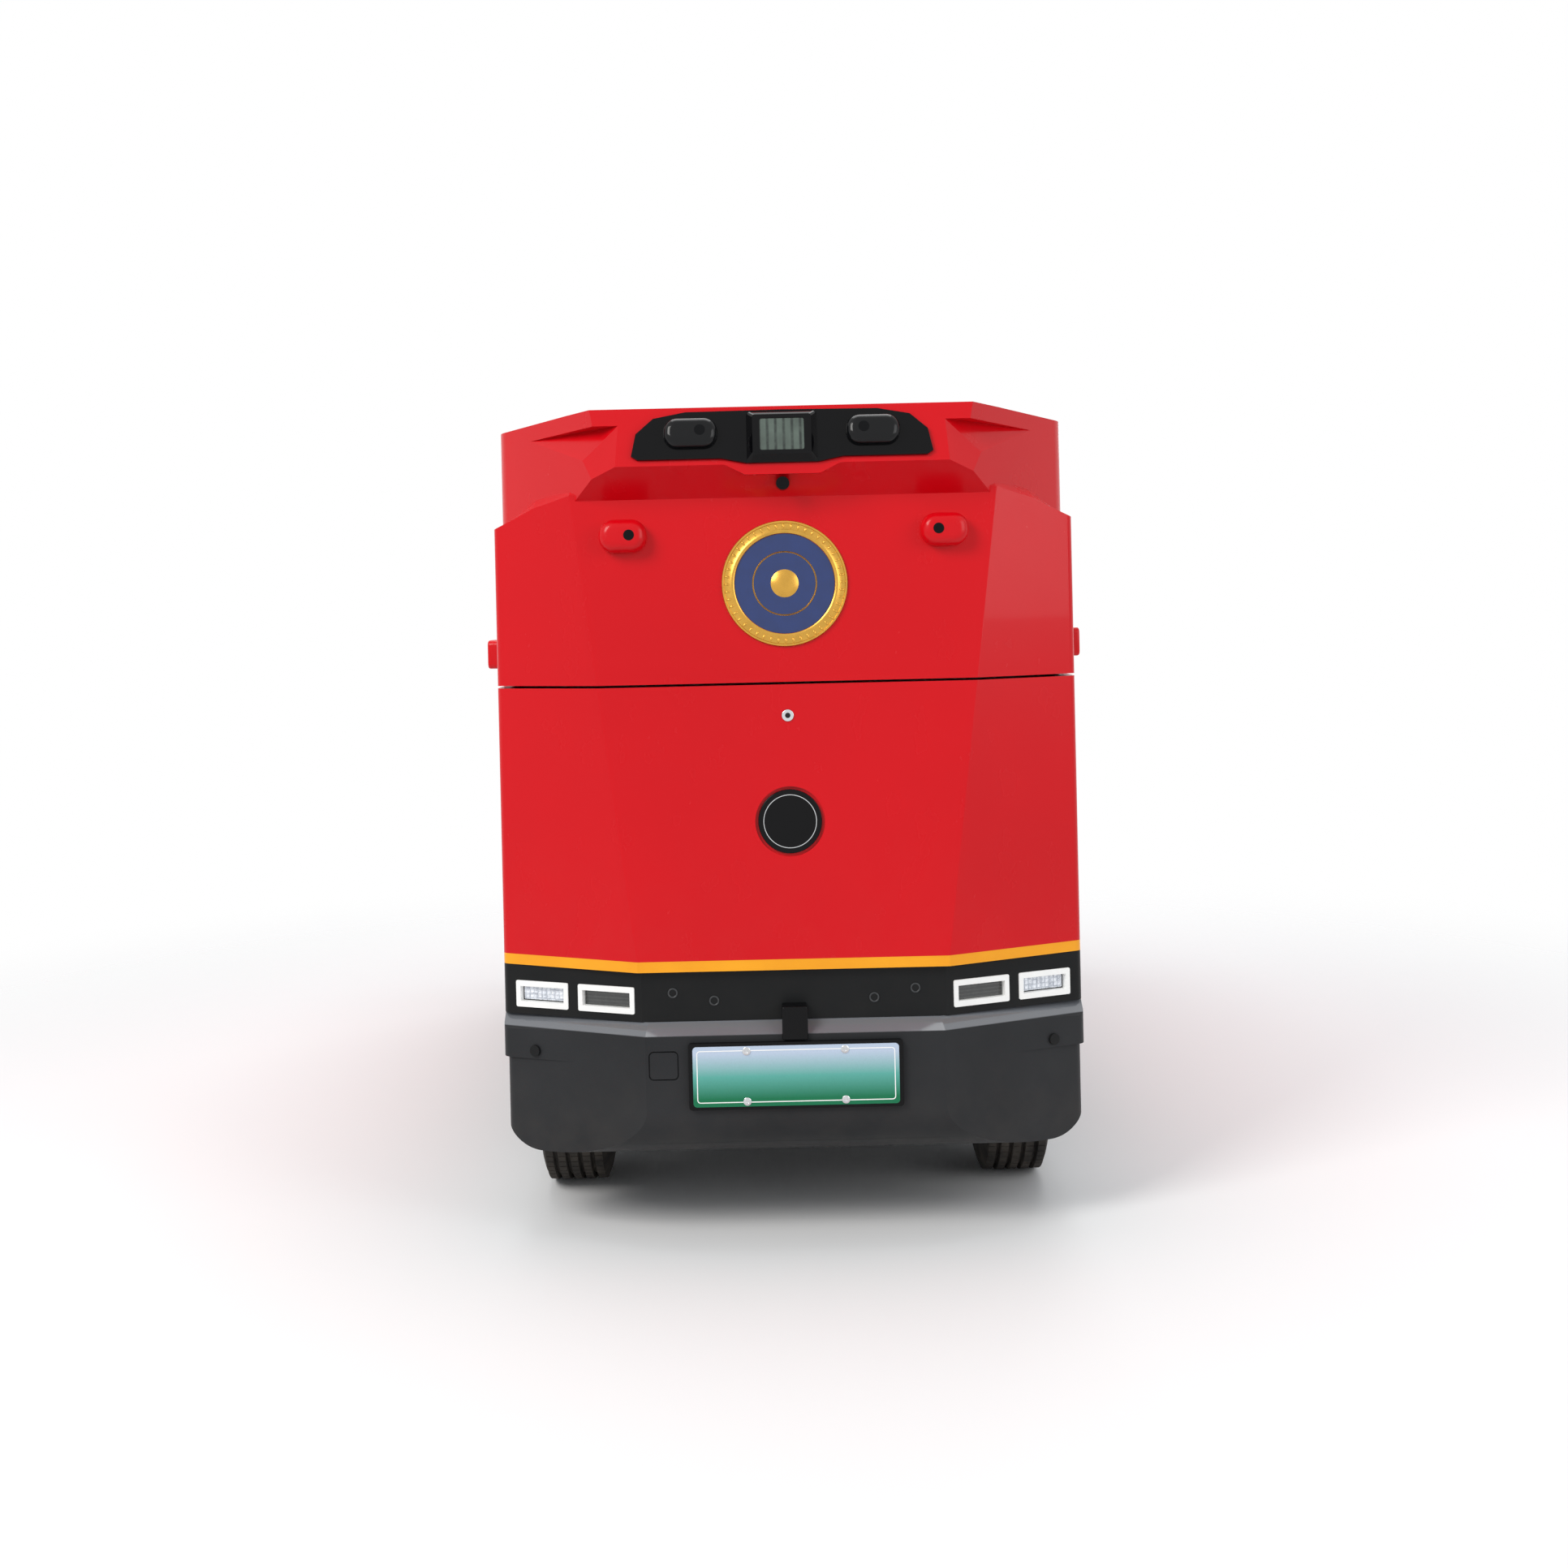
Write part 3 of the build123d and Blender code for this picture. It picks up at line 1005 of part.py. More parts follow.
with BuildPart() as battery_pack:
    with BuildSketch(Plane.XY.offset(BATTERY_BASE)):
        with Locations((0, (Y_FRONT_AXLE + Y_REAR_AXLE) / 2)):
            Rectangle(2 * RAIL_X - RAIL_WIDTH - 2 * SEAT_GAP, WHEELBASE - 2 * BATTERY_END)
    extrude(amount=Z_RAIL_TOP - BATTERY_BASE)
    fillet(battery_pack.edges().filter_by(Axis.Z), BATTERY_ROUND)
save(battery_pack, "battery_pack")

# Front suspension: subframe, wishbones, spring struts and steering rack

SUBFRAME_BASE = 180.0
SUBFRAME_HALF = 235.0
SUBFRAME_SHOULDER = 300.0
SUBFRAME_FLARE = 355.0
SUBFRAME_DEPTH = 180.0
SUBFRAME_HOLE = 46.0
ARM_THICKNESS = 24.0
LOWER_ARM_Z = 200.0
UPPER_ARM_Z = 366.0
UPPER_ARM_THICKNESS = 20.0
ARM_BASE_HALF = 84.0
ARM_LEG = 22.0
ARM_BOSS = 24.0
PIN_RADIUS = 10.0
RAIL_OUTER = RAIL_X + RAIL_WIDTH / 2

with BuildPart() as front_subframe:
    outline = [
        (-RAIL_OUTER, RAIL_BASE), (-RAIL_OUTER, SUBFRAME_FLARE),
        (-SUBFRAME_HALF, SUBFRAME_SHOULDER), (-SUBFRAME_HALF, SUBFRAME_BASE),
        (SUBFRAME_HALF, SUBFRAME_BASE), (SUBFRAME_HALF, SUBFRAME_SHOULDER),
        (RAIL_OUTER, SUBFRAME_FLARE), (RAIL_OUTER, RAIL_BASE),
    ]
    extrude(front_face(Y_FRONT_AXLE - SUBFRAME_DEPTH / 2, outline), amount=-SUBFRAME_DEPTH)
    with BuildSketch(Plane.XZ.offset(-Y_FRONT_AXLE)):
        with GridLocations(SUBFRAME_HALF * 2 / 3, 1, 3, 1):
            with Locations((0, (SUBFRAME_BASE + SUBFRAME_FLARE) / 2)):
                Circle(SUBFRAME_HOLE)
    extrude(amount=SUBFRAME_DEPTH, both=True, mode=Mode.SUBTRACT)
save(front_subframe, "front_subframe")


def wishbone(side, inner_x, z, thickness):
    """Outline of one forked arm from its two inner feet to its pin boss."""
    outer = side * KINGPIN_X
    inner = side * inner_x
    with BuildSketch(Plane.XY.offset(z)) as sketch:
        with BuildLine():
            Polyline(
                (inner, Y_FRONT_AXLE - ARM_BASE_HALF),
                (outer, Y_FRONT_AXLE - ARM_LEG / 2),
                (outer, Y_FRONT_AXLE + ARM_LEG / 2),
                (inner, Y_FRONT_AXLE + ARM_BASE_HALF),
                (inner, Y_FRONT_AXLE + ARM_BASE_HALF - ARM_LEG * 1.4),
                (outer - side * 2.6 * ARM_BOSS, Y_FRONT_AXLE),
                (inner, Y_FRONT_AXLE - ARM_BASE_HALF + ARM_LEG * 1.4),
                close=True,
            )
        make_face()
        with Locations((outer, Y_FRONT_AXLE)):
            Circle(ARM_BOSS)
            Circle(PIN_RADIUS + SEAT_GAP, mode=Mode.SUBTRACT)
    return extrude(sketch.sketch, amount=thickness, mode=Mode.PRIVATE)


with BuildPart() as front_wishbones:
    for side_name, side in SIDES:
        add(wishbone(side, SUBFRAME_HALF, LOWER_ARM_Z, ARM_THICKNESS))
        add(wishbone(side, RAIL_OUTER, UPPER_ARM_Z, UPPER_ARM_THICKNESS))
save(front_wishbones, "front_wishbones")

STRUT_X = 336.0
STRUT_RADIUS = 16.0
STRUT_SPRING_RADIUS = 28.0
STRUT_SEAT_RADIUS = 31.0
STRUT_SEAT_HEIGHT = 10.0
STRUT_FOOT = 60.0
STRUT_HEAD = 60.0

with BuildPart() as spring_struts:
    for side_name, side in SIDES:
        strut_base = LOWER_ARM_Z + ARM_THICKNESS
        with BuildSketch(Plane.XZ.offset(-Y_FRONT_AXLE)):
            with BuildLine():
                Polyline(
                    (side * STRUT_X, strut_base),
                    (side * (STRUT_X + STRUT_RADIUS), strut_base),
                    (side * (STRUT_X + STRUT_RADIUS), strut_base + STRUT_FOOT),
                    (side * (STRUT_X + STRUT_SEAT_RADIUS), strut_base + STRUT_FOOT),
                    (side * (STRUT_X + STRUT_SEAT_RADIUS), strut_base + STRUT_FOOT + STRUT_SEAT_HEIGHT),
                    (side * (STRUT_X + STRUT_SPRING_RADIUS), strut_base + STRUT_FOOT + STRUT_SEAT_HEIGHT),
                    (side * (STRUT_X + STRUT_SPRING_RADIUS), Z_FLOOR_LOW - STRUT_HEAD),
                    (side * (STRUT_X + STRUT_SEAT_RADIUS), Z_FLOOR_LOW - STRUT_HEAD),
                    (side * (STRUT_X + STRUT_SEAT_RADIUS), Z_FLOOR_LOW),
                    (side * STRUT_X, Z_FLOOR_LOW),
                    close=True,
                )
            make_face()
        revolve(axis=Axis((side * STRUT_X, Y_FRONT_AXLE, 0), (0, 0, 1)))
save(spring_struts, "spring_struts")

RACK_RADIUS = 26.0
RACK_HALF = 215.0
RACK_Z = 262.0

with BuildPart() as steering_rack:
    rack_y = Y_FRONT_AXLE + SUBFRAME_DEPTH / 2 + RACK_RADIUS + 4
    with BuildSketch(Plane.YZ.offset(-RACK_HALF)):
        with Locations((rack_y, RACK_Z)):
            Circle(RACK_RADIUS)
    extrude(amount=2 * RACK_HALF)
    with BuildSketch(Plane.XZ.offset(-Y_FRONT_AXLE - SUBFRAME_DEPTH / 2)):
        for side_name, side in SIDES:
            with Locations((side * RACK_HALF * 0.36, RACK_Z)):
                Rectangle(36, 2 * RACK_RADIUS + 16)
    extrude(amount=-RACK_RADIUS - 4)
save(steering_rack, "steering_rack")

# Rear axle and its leaf springs

DRUM_RADIUS = 108.0
DRUM_INNER_X = 486.0
DRUM_OUTER_X = 530.0
SPINDLE_END = 38.0
MOTOR_RADIUS = 112.0
MOTOR_HALF = 105.0
PERCH_TOP = 42.0
PERCH_LENGTH = 64.0
PERCH_WIDTH = 50.0

with BuildPart() as rear_axle:
    axle_line = (Y_REAR_AXLE, WHEEL_Z)
    for radius, half_length in (
        (AXLE_TUBE_RADIUS, DRUM_INNER_X),
        (MOTOR_RADIUS, MOTOR_HALF),
        (SPINDLE_RADIUS, WHEEL_X + SPINDLE_END),
    ):
        with BuildSketch(Plane.YZ.offset(-half_length)):
            with Locations(axle_line):
                Circle(radius)
        extrude(amount=2 * half_length)
    for side_name, side in SIDES:
        with BuildSketch(Plane.YZ.offset(side * DRUM_INNER_X)):
            with Locations(axle_line):
                Circle(DRUM_RADIUS)
        extrude(amount=side * (DRUM_OUTER_X - DRUM_INNER_X))
        with BuildSketch(Plane.XY.offset(WHEEL_Z)):
            with Locations((side * RAIL_X, Y_REAR_AXLE)):
                Rectangle(PERCH_WIDTH, PERCH_LENGTH)
        extrude(amount=PERCH_TOP)
save(rear_axle, "rear_axle")

SPRING_HALF = 430.0
SPRING_CAMBER = 40.0
SPRING_WIDTH = 50.0
SPRING_TIP = 8.0
SPRING_CENTRE = 20.0
SPRING_EYE = 15.0

with BuildPart() as rear_springs:
    for side_name, side in SIDES:
        spring_z = WHEEL_Z + PERCH_TOP + SEAT_GAP
        tip_z = spring_z + SPRING_CAMBER
        with BuildSketch(Plane.YZ.offset(side * RAIL_X - SPRING_WIDTH / 2)):
            with BuildLine():
                ThreePointArc(
                    (Y_REAR_AXLE - SPRING_HALF, tip_z), (Y_REAR_AXLE, spring_z), (Y_REAR_AXLE + SPRING_HALF, tip_z)
                )
                Line((Y_REAR_AXLE + SPRING_HALF, tip_z), (Y_REAR_AXLE + SPRING_HALF, tip_z + SPRING_TIP))
                ThreePointArc(
                    (Y_REAR_AXLE + SPRING_HALF, tip_z + SPRING_TIP),
                    (Y_REAR_AXLE, spring_z + SPRING_CENTRE),
                    (Y_REAR_AXLE - SPRING_HALF, tip_z + SPRING_TIP),
                )
                Line((Y_REAR_AXLE - SPRING_HALF, tip_z + SPRING_TIP), (Y_REAR_AXLE - SPRING_HALF, tip_z))
            make_face()
            for end in (-1, 1):
                with Locations((Y_REAR_AXLE + end * SPRING_HALF, tip_z + SPRING_TIP / 2)):
                    Circle(SPRING_EYE)
                with Locations((Y_REAR_AXLE + end * SPRING_HALF, (tip_z + RAIL_BASE) / 2)):
                    Rectangle(2 * SPRING_EYE, RAIL_BASE - tip_z)
        extrude(amount=SPRING_WIDTH)
save(rear_springs, "rear_springs")

# Steering knuckles, rims and tyres

KNUCKLE_HALF = 20.0
CARRIER_RADIUS = 46.0
CARRIER_DEPTH = 22.0
STEER_ARM_REACH = 105.0
STEER_ARM_THICKNESS = 18.0

for side_name, side in SIDES:
    with BuildPart() as knuckle:
        lug_low = LOWER_ARM_Z + ARM_THICKNESS + SEAT_GAP
        lug_high = UPPER_ARM_Z - SEAT_GAP
        with BuildSketch(Plane.XY.offset(lug_low)):
            with Locations((side * KINGPIN_X, Y_FRONT_AXLE)):
                RectangleRounded(2 * KNUCKLE_HALF, 2 * KNUCKLE_HALF, KNUCKLE_HALF / 2)
        extrude(amount=lug_high - lug_low)
        with BuildSketch(Plane.XY.offset(LOWER_ARM_Z)):
            with Locations((side * KINGPIN_X, Y_FRONT_AXLE)):
                Circle(PIN_RADIUS)
        extrude(amount=UPPER_ARM_Z + UPPER_ARM_THICKNESS - LOWER_ARM_Z)
        with BuildSketch(Plane.YZ.offset(side * (KINGPIN_X - KNUCKLE_HALF / 2))):
            with Locations((Y_FRONT_AXLE, WHEEL_Z)):
                Circle(CARRIER_RADIUS)
        extrude(amount=side * (CARRIER_DEPTH + KNUCKLE_HALF))
        with BuildSketch(Plane.YZ.offset(side * KINGPIN_X)):
            with Locations((Y_FRONT_AXLE, WHEEL_Z)):
                Circle(SPINDLE_RADIUS)
        extrude(amount=side * (WHEEL_X + SPINDLE_END - KINGPIN_X))
        with BuildSketch(Plane.XY.offset(WHEEL_Z - STEER_ARM_THICKNESS / 2)):
            with BuildLine():
                Polyline(
                    (side * (KINGPIN_X - KNUCKLE_HALF), Y_FRONT_AXLE),
                    (side * (KINGPIN_X + KNUCKLE_HALF / 2), Y_FRONT_AXLE),
                    (side * (KINGPIN_X - KNUCKLE_HALF), Y_FRONT_AXLE + STEER_ARM_REACH),
                    (side * (KINGPIN_X - 2 * KNUCKLE_HALF), Y_FRONT_AXLE + STEER_ARM_REACH),
                    close=True,
                )
            make_face()
        extrude(amount=STEER_ARM_THICKNESS)
    save(knuckle, f"knuckle_{side_name}")

RIM_R = RIM_DIAMETER / 2
BARREL_R = RIM_R - RIM_WALL
FLANGE_WIDTH = 6.0
HUB_INNER = -20.0
HUB_OUTER = 52.0
DISC_INNER_X = 36.0
DISC_OUTER_X = 46.0
DISC_JOIN = 8.0
VENT_COUNT = 8
VENT_CIRCLE = 112.0
VENT_RADIUS = 21.0
TYRE_BULGE_R = 238.0
TYRE_SHOULDER_R = 276.0
TYRE_SHOULDER_INSET = 10.0
TYRE_TREAD_INSET = 22.0
TYRE_CROWN = 4.0


def wheel_plane(side, axle_y):
    """A plane through a wheel's centre, its x axis outboard and its y axis up."""
    return Plane(origin=(side * WHEEL_X, axle_y, WHEEL_Z), x_dir=(side, 0, 0), z_dir=(0, -side, 0))


def wheel_axis(side, axle_y):
    """The axis that a wheel turns on."""
    return Axis((side * WHEEL_X, axle_y, WHEEL_Z), (1, 0, 0))


rim_half = RIM_WIDTH / 2
rim_profile = [
    (-rim_half, RIM_R + RIM_FLANGE), (-rim_half + FLANGE_WIDTH, RIM_R + RIM_FLANGE),
    (-rim_half + FLANGE_WIDTH, RIM_R), (rim_half - FLANGE_WIDTH, RIM_R),
    (rim_half - FLANGE_WIDTH, RIM_R + RIM_FLANGE), (rim_half, RIM_R + RIM_FLANGE),
    (rim_half, BARREL_R), (DISC_OUTER_X + DISC_JOIN, BARREL_R),
    (DISC_OUTER_X, BARREL_R - 2 * DISC_JOIN), (DISC_OUTER_X, HUB_RADIUS + DISC_JOIN),
    (HUB_OUTER, HUB_RADIUS), (HUB_OUTER, 0), (SPINDLE_END + SEAT_GAP, 0),
    (SPINDLE_END + SEAT_GAP, SPINDLE_RADIUS + SEAT_GAP), (HUB_INNER, SPINDLE_RADIUS + SEAT_GAP),
    (HUB_INNER, HUB_RADIUS), (DISC_INNER_X, HUB_RADIUS + DISC_JOIN),
    (DISC_INNER_X, BARREL_R - 2 * DISC_JOIN), (DISC_INNER_X + DISC_JOIN, BARREL_R),
    (-rim_half, BARREL_R),
]
bead = rim_half - FLANGE_WIDTH - SEAT_GAP
tyre_half = TYRE_WIDTH / 2
tyre_r = TYRE_DIAMETER / 2
bead_r = RIM_R + SEAT_GAP
flange_r = RIM_R + RIM_FLANGE + SEAT_GAP

for axle_name, axle_y in (("front", Y_FRONT_AXLE), ("rear", Y_REAR_AXLE)):
    for side_name, side in SIDES:
        with BuildPart() as rim:
            with BuildSketch(wheel_plane(side, axle_y)):
                with BuildLine():
                    Polyline(*rim_profile, close=True)
                make_face()
            revolve(axis=wheel_axis(side, axle_y))
            with BuildSketch(Plane.YZ.offset(side * WHEEL_X)):
                with Locations((axle_y, WHEEL_Z)):
                    with PolarLocations(VENT_CIRCLE, VENT_COUNT):
                        Circle(VENT_RADIUS)
            extrude(amount=side * rim_half, mode=Mode.SUBTRACT)
        save(rim, f"rim_{axle_name}_{side_name}")
        with BuildPart() as tyre:
            with BuildSketch(wheel_plane(side, axle_y)):
                with BuildLine():
                    Polyline(
                        (tyre_half - TYRE_TREAD_INSET, tyre_r - TYRE_CROWN),
                        (tyre_half - TYRE_SHOULDER_INSET / 2, TYRE_SHOULDER_R),
                        (tyre_half, TYRE_BULGE_R),
                        (tyre_half - TYRE_SHOULDER_INSET, flange_r + TYRE_SHOULDER_INSET),
                        (bead, flange_r),
                        (bead, bead_r),
                        (-bead, bead_r),
                        (-bead, flange_r),
                        (TYRE_SHOULDER_INSET - tyre_half, flange_r + TYRE_SHOULDER_INSET),
                        (-tyre_half, TYRE_BULGE_R),
                        (TYRE_SHOULDER_INSET / 2 - tyre_half, TYRE_SHOULDER_R),
                        (TYRE_TREAD_INSET - tyre_half, tyre_r - TYRE_CROWN),
                    )
                    ThreePointArc(
                        (TYRE_TREAD_INSET - tyre_half, tyre_r - TYRE_CROWN),
                        (0, tyre_r),
                        (tyre_half - TYRE_TREAD_INSET, tyre_r - TYRE_CROWN),
                    )
                make_face()
            revolve(axis=wheel_axis(side, axle_y))
        save(tyre, f"tyre_{axle_name}_{side_name}")

# Crown sensors: the gloss panel, the lidar and the camera pods

SENSOR_PANEL_THICKNESS = 8.0
SENSOR_PANEL_ROUND = 12.0
LIDAR_Z = 1890.0
LIDAR_WIDTH = 165.0
LIDAR_HEIGHT = 124.0
LIDAR_PROUD = 20.0
LIDAR_BEVEL = 14.0
LIDAR_GLASS_WIDTH = 104.0
LIDAR_GLASS_HEIGHT = 77.0
LIDAR_GLASS_DEPTH = 8.0
LENS_RADIUS = 13.0
LENS_PROUD = 1.0
# Half of the sensor panel's outline: distance from the centre line and height
SENSOR_PANEL_HALF = (
    (0.0, 1954.0), (225.0, 1952.0), (300.0, 1938.0), (341.0, 1902.0),
    (352.0, 1850.0), (338.0, 1841.0), (142.0, 1841.0), (84.0, 1829.0), (0.0, 1829.0),
)


def crown_plane(x, z):
    """A plane on the visor's face, facing out."""
    lean = atan2(CROWN_LEAN, 1.0)
    return Plane(origin=(x, visor_y(z), z), x_dir=(1, 0, 0), z_dir=(0, -cos(lean), sin(lean)))


with BuildPart() as sensor_panel:
    lean_scale = sqrt(1 + CROWN_LEAN ** 2)
    right_half = [(x, (z - LIDAR_Z) * lean_scale) for x, z in SENSOR_PANEL_HALF]
    left_half = [(-x, z) for x, z in right_half[1:-1]]
    with BuildSketch(crown_plane(0, LIDAR_Z)) as panel_face:
        with BuildLine():
            Polyline(*right_half, *reversed(left_half), close=True)
        make_face()
    extrude(amount=SENSOR_PANEL_THICKNESS)
save(sensor_panel, "sensor_panel")

lidar_plane = crown_plane(0, LIDAR_Z).offset(SENSOR_PANEL_THICKNESS)

with BuildPart() as lidar_housing:
    with BuildSketch(lidar_plane):
        RectangleRounded(LIDAR_WIDTH, LIDAR_HEIGHT, 8)
    with BuildSketch(lidar_plane.offset(LIDAR_PROUD)):
        RectangleRounded(LIDAR_WIDTH - 2 * LIDAR_BEVEL, LIDAR_HEIGHT - 2 * LIDAR_BEVEL, 6)
    loft()
    with BuildSketch(lidar_plane.offset(LIDAR_PROUD)):
        RectangleRounded(LIDAR_GLASS_WIDTH, LIDAR_GLASS_HEIGHT, 5)
    extrude(amount=-LIDAR_GLASS_DEPTH, mode=Mode.SUBTRACT)
save(lidar_housing, "lidar_housing")

with BuildPart() as lidar_window:
    with BuildSketch(lidar_plane.offset(LIDAR_PROUD - LIDAR_GLASS_DEPTH)):
        RectangleRounded(LIDAR_GLASS_WIDTH - 2 * SEAT_GAP, LIDAR_GLASS_HEIGHT - 2 * SEAT_GAP, 5)
    extrude(amount=LIDAR_GLASS_DEPTH - 2)
save(lidar_window, "lidar_window")

POD_TAIL = 0.62
FACE_POD_X = 382.0
FACE_POD_Z = 1668.0
FACE_POD_LENGTH = 112.0
FACE_POD_HEIGHT = 84.0
CROWN_POD_X = 211.0
CROWN_POD_Z = 1902.0
CROWN_POD_LENGTH = 127.0
CROWN_POD_HEIGHT = 50.0


def pod_shell(plane, length, height, side):
    """An egg-shaped hood lying on a plane, blunt towards the centre line and drawn out behind."""
    blunt = -side * length * (1 - POD_TAIL)
    tail = side * length * POD_TAIL
    with BuildSketch(plane) as sketch:
        with BuildLine():
            Line((blunt, 0), (tail, 0))
            ThreePointArc((tail, 0), (tail * 0.55, height / 2 * 0.74), (0, height / 2))
            ThreePointArc((0, height / 2), (blunt * 0.74, height / 2 * 0.68), (blunt, 0))
        make_face()
    return revolve(sketch.sketch, axis=Axis(plane.origin, plane.x_dir), revolution_arc=180, mode=Mode.PRIVATE)


def lens_place(plane, length, side):
    """Where a pod's lens looks out, near its blunt end."""
    return plane.shift_origin(plane.from_local_coords((-side * length * 0.16, 0, 0)))


with BuildPart() as crown_cameras:
    for side_name, side in SIDES:
        pod_plane = crown_plane(side * CROWN_POD_X, CROWN_POD_Z).offset(SENSOR_PANEL_THICKNESS)
        add(pod_shell(pod_plane, CROWN_POD_LENGTH, CROWN_POD_HEIGHT, side))
        with BuildSketch(lens_place(pod_plane, CROWN_POD_LENGTH, side)):
            Circle(LENS_RADIUS)
        extrude(amount=CROWN_POD_HEIGHT, mode=Mode.SUBTRACT)
save(crown_cameras, "crown_cameras")

SIDE_POD_LENGTH = 130.0
SIDE_POD_HEIGHT = 75.0
SIDE_POD_PROUD = 67.0
SIDE_POD_Z = 1385.0
SIDE_POD_BEHIND = 90.0
SIDE_POD_ROUND = 14.0
SIDE_SENSOR_RADIUS = 14.0
SIDE_SENSOR_DROP = 24.0

with BuildPart() as camera_pods:
    for side_name, side in SIDES:
        pod_plane = nose_plane(side * FACE_POD_X, FACE_POD_Z)
        add(pod_shell(pod_plane, FACE_POD_LENGTH, FACE_POD_HEIGHT, side))
        with BuildSketch(lens_place(pod_plane, FACE_POD_LENGTH, side)):
            Circle(LENS_RADIUS)
        extrude(amount=FACE_POD_HEIGHT, mode=Mode.SUBTRACT)
    for side_name, side in SIDES:
        with BuildSketch(Plane.YZ.offset(side * HALF)):
            with Locations((Y_NOSE_BACK + SIDE_POD_BEHIND, SIDE_POD_Z)):
                RectangleRounded(SIDE_POD_LENGTH, SIDE_POD_HEIGHT, SIDE_POD_ROUND)
        extrude(amount=side * SIDE_POD_PROUD, taper=4)
save(camera_pods, "camera_pods")

with BuildPart() as camera_lenses:
    for side_name, side in SIDES:
        for pod_plane, length, height in (
            (nose_plane(side * FACE_POD_X, FACE_POD_Z), FACE_POD_LENGTH, FACE_POD_HEIGHT),
            (crown_plane(side * CROWN_POD_X, CROWN_POD_Z).offset(SENSOR_PANEL_THICKNESS), CROWN_POD_LENGTH,
             CROWN_POD_HEIGHT),
        ):
            with BuildSketch(lens_place(pod_plane, length, side)):
                Circle(LENS_RADIUS - SEAT_GAP)
            extrude(amount=height / 2 + LENS_PROUD)
        with BuildSketch(Plane.XY.offset(SIDE_POD_Z - SIDE_POD_HEIGHT / 2)):
            with Locations((side * (HALF + SIDE_SENSOR_RADIUS + 6), Y_NOSE_BACK + SIDE_POD_BEHIND)):
                Circle(SIDE_SENSOR_RADIUS)
        extrude(amount=-SIDE_SENSOR_DROP)
    with BuildSketch(Plane.XZ.offset(-Y_FRONT - BROW_SOCKET)):
        with Locations((0, BROW_Z)):
            Circle(BROW_RADIUS - SEAT_GAP)
    extrude(amount=BROW_PROUD)
save(camera_lenses, "camera_lenses")
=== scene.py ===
"""Blender scene for the unmanned fire truck: finishes, dressed details, studio and camera."""

import logging
from dataclasses import dataclass, field
from enum import Enum
from math import atan2, cos, pi, radians, sin, tan

import bmesh
import bpy
from mathutils import Matrix, Vector


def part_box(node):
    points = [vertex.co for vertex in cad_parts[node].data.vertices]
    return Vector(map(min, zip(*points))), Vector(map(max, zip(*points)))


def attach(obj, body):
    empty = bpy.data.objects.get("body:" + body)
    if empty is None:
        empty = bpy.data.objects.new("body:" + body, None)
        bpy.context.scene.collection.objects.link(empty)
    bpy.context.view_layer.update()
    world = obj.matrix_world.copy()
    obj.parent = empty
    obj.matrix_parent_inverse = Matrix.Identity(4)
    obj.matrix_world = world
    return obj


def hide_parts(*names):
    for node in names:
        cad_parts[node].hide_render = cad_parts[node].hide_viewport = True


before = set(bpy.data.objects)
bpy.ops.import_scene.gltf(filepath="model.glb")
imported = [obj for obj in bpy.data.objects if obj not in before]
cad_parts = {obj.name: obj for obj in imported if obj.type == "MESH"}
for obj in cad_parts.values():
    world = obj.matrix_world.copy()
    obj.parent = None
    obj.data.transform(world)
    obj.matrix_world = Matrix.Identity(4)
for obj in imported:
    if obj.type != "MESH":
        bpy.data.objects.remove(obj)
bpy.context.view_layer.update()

LOG = logging.getLogger("fire_truck")

Colour = tuple[float, float, float]
Place = tuple[float, float, float]
Socket = bpy.types.NodeSocket
Shape = bmesh.types.BMesh
SIDES = (("left", 1), ("right", -1))


def srgb(red: int, green: int, blue: int) -> Colour:
    """Turn a screen colour into the linear colour that a shader takes.

    Args:
        red: Red from 0 to 255.
        green: Green from 0 to 255.
        blue: Blue from 0 to 255.

    Returns:
        The linear colour.
    """
    channels = []
    for level in (red, green, blue):
        share = level / 255
        channels.append(share / 12.92 if share <= 0.04045 else ((share + 0.055) / 1.055) ** 2.4)
    return channels[0], channels[1], channels[2]


ROAD_DUST = srgb(128, 118, 106)
FULL_TURN = 2 * pi
LACQUER_RED = srgb(212, 5, 20)
# Noise cells pressed flat, for streaks and castings
FLAT_CELLS: Place = (1.0, 1.0, 0.6)


class Grain(Enum):
    """The fine relief of a surface."""

    PEEL = "orange peel of sprayed lacquer"
    LEATHER = "moulded grain of bumper plastic"
    CAST = "fine cast or brushed skin"
    RUBBER = "moulded rubber skin"


class Wiring:
    """A node tree, with short calls to add, find and join nodes."""

    def __init__(self, tree: bpy.types.NodeTree) -> None:
        """Take up the tree."""
        self.tree = tree

    def add(self, kind: str, **settings: object) -> bpy.types.Node:
        """Add a node of a kind and set its plain properties."""
        node = self.tree.nodes.new(kind)
        for key, value in settings.items():
            setattr(node, key, value)
        return node

    def found(self, kind: str) -> bpy.types.Node:
        """Return the tree's first node of a type."""
        return [node for node in self.tree.nodes if node.type == kind][0]

    def join(self, start: Socket, end: Socket) -> None:
        """Link one socket to another."""
        self.tree.links.new(start, end)


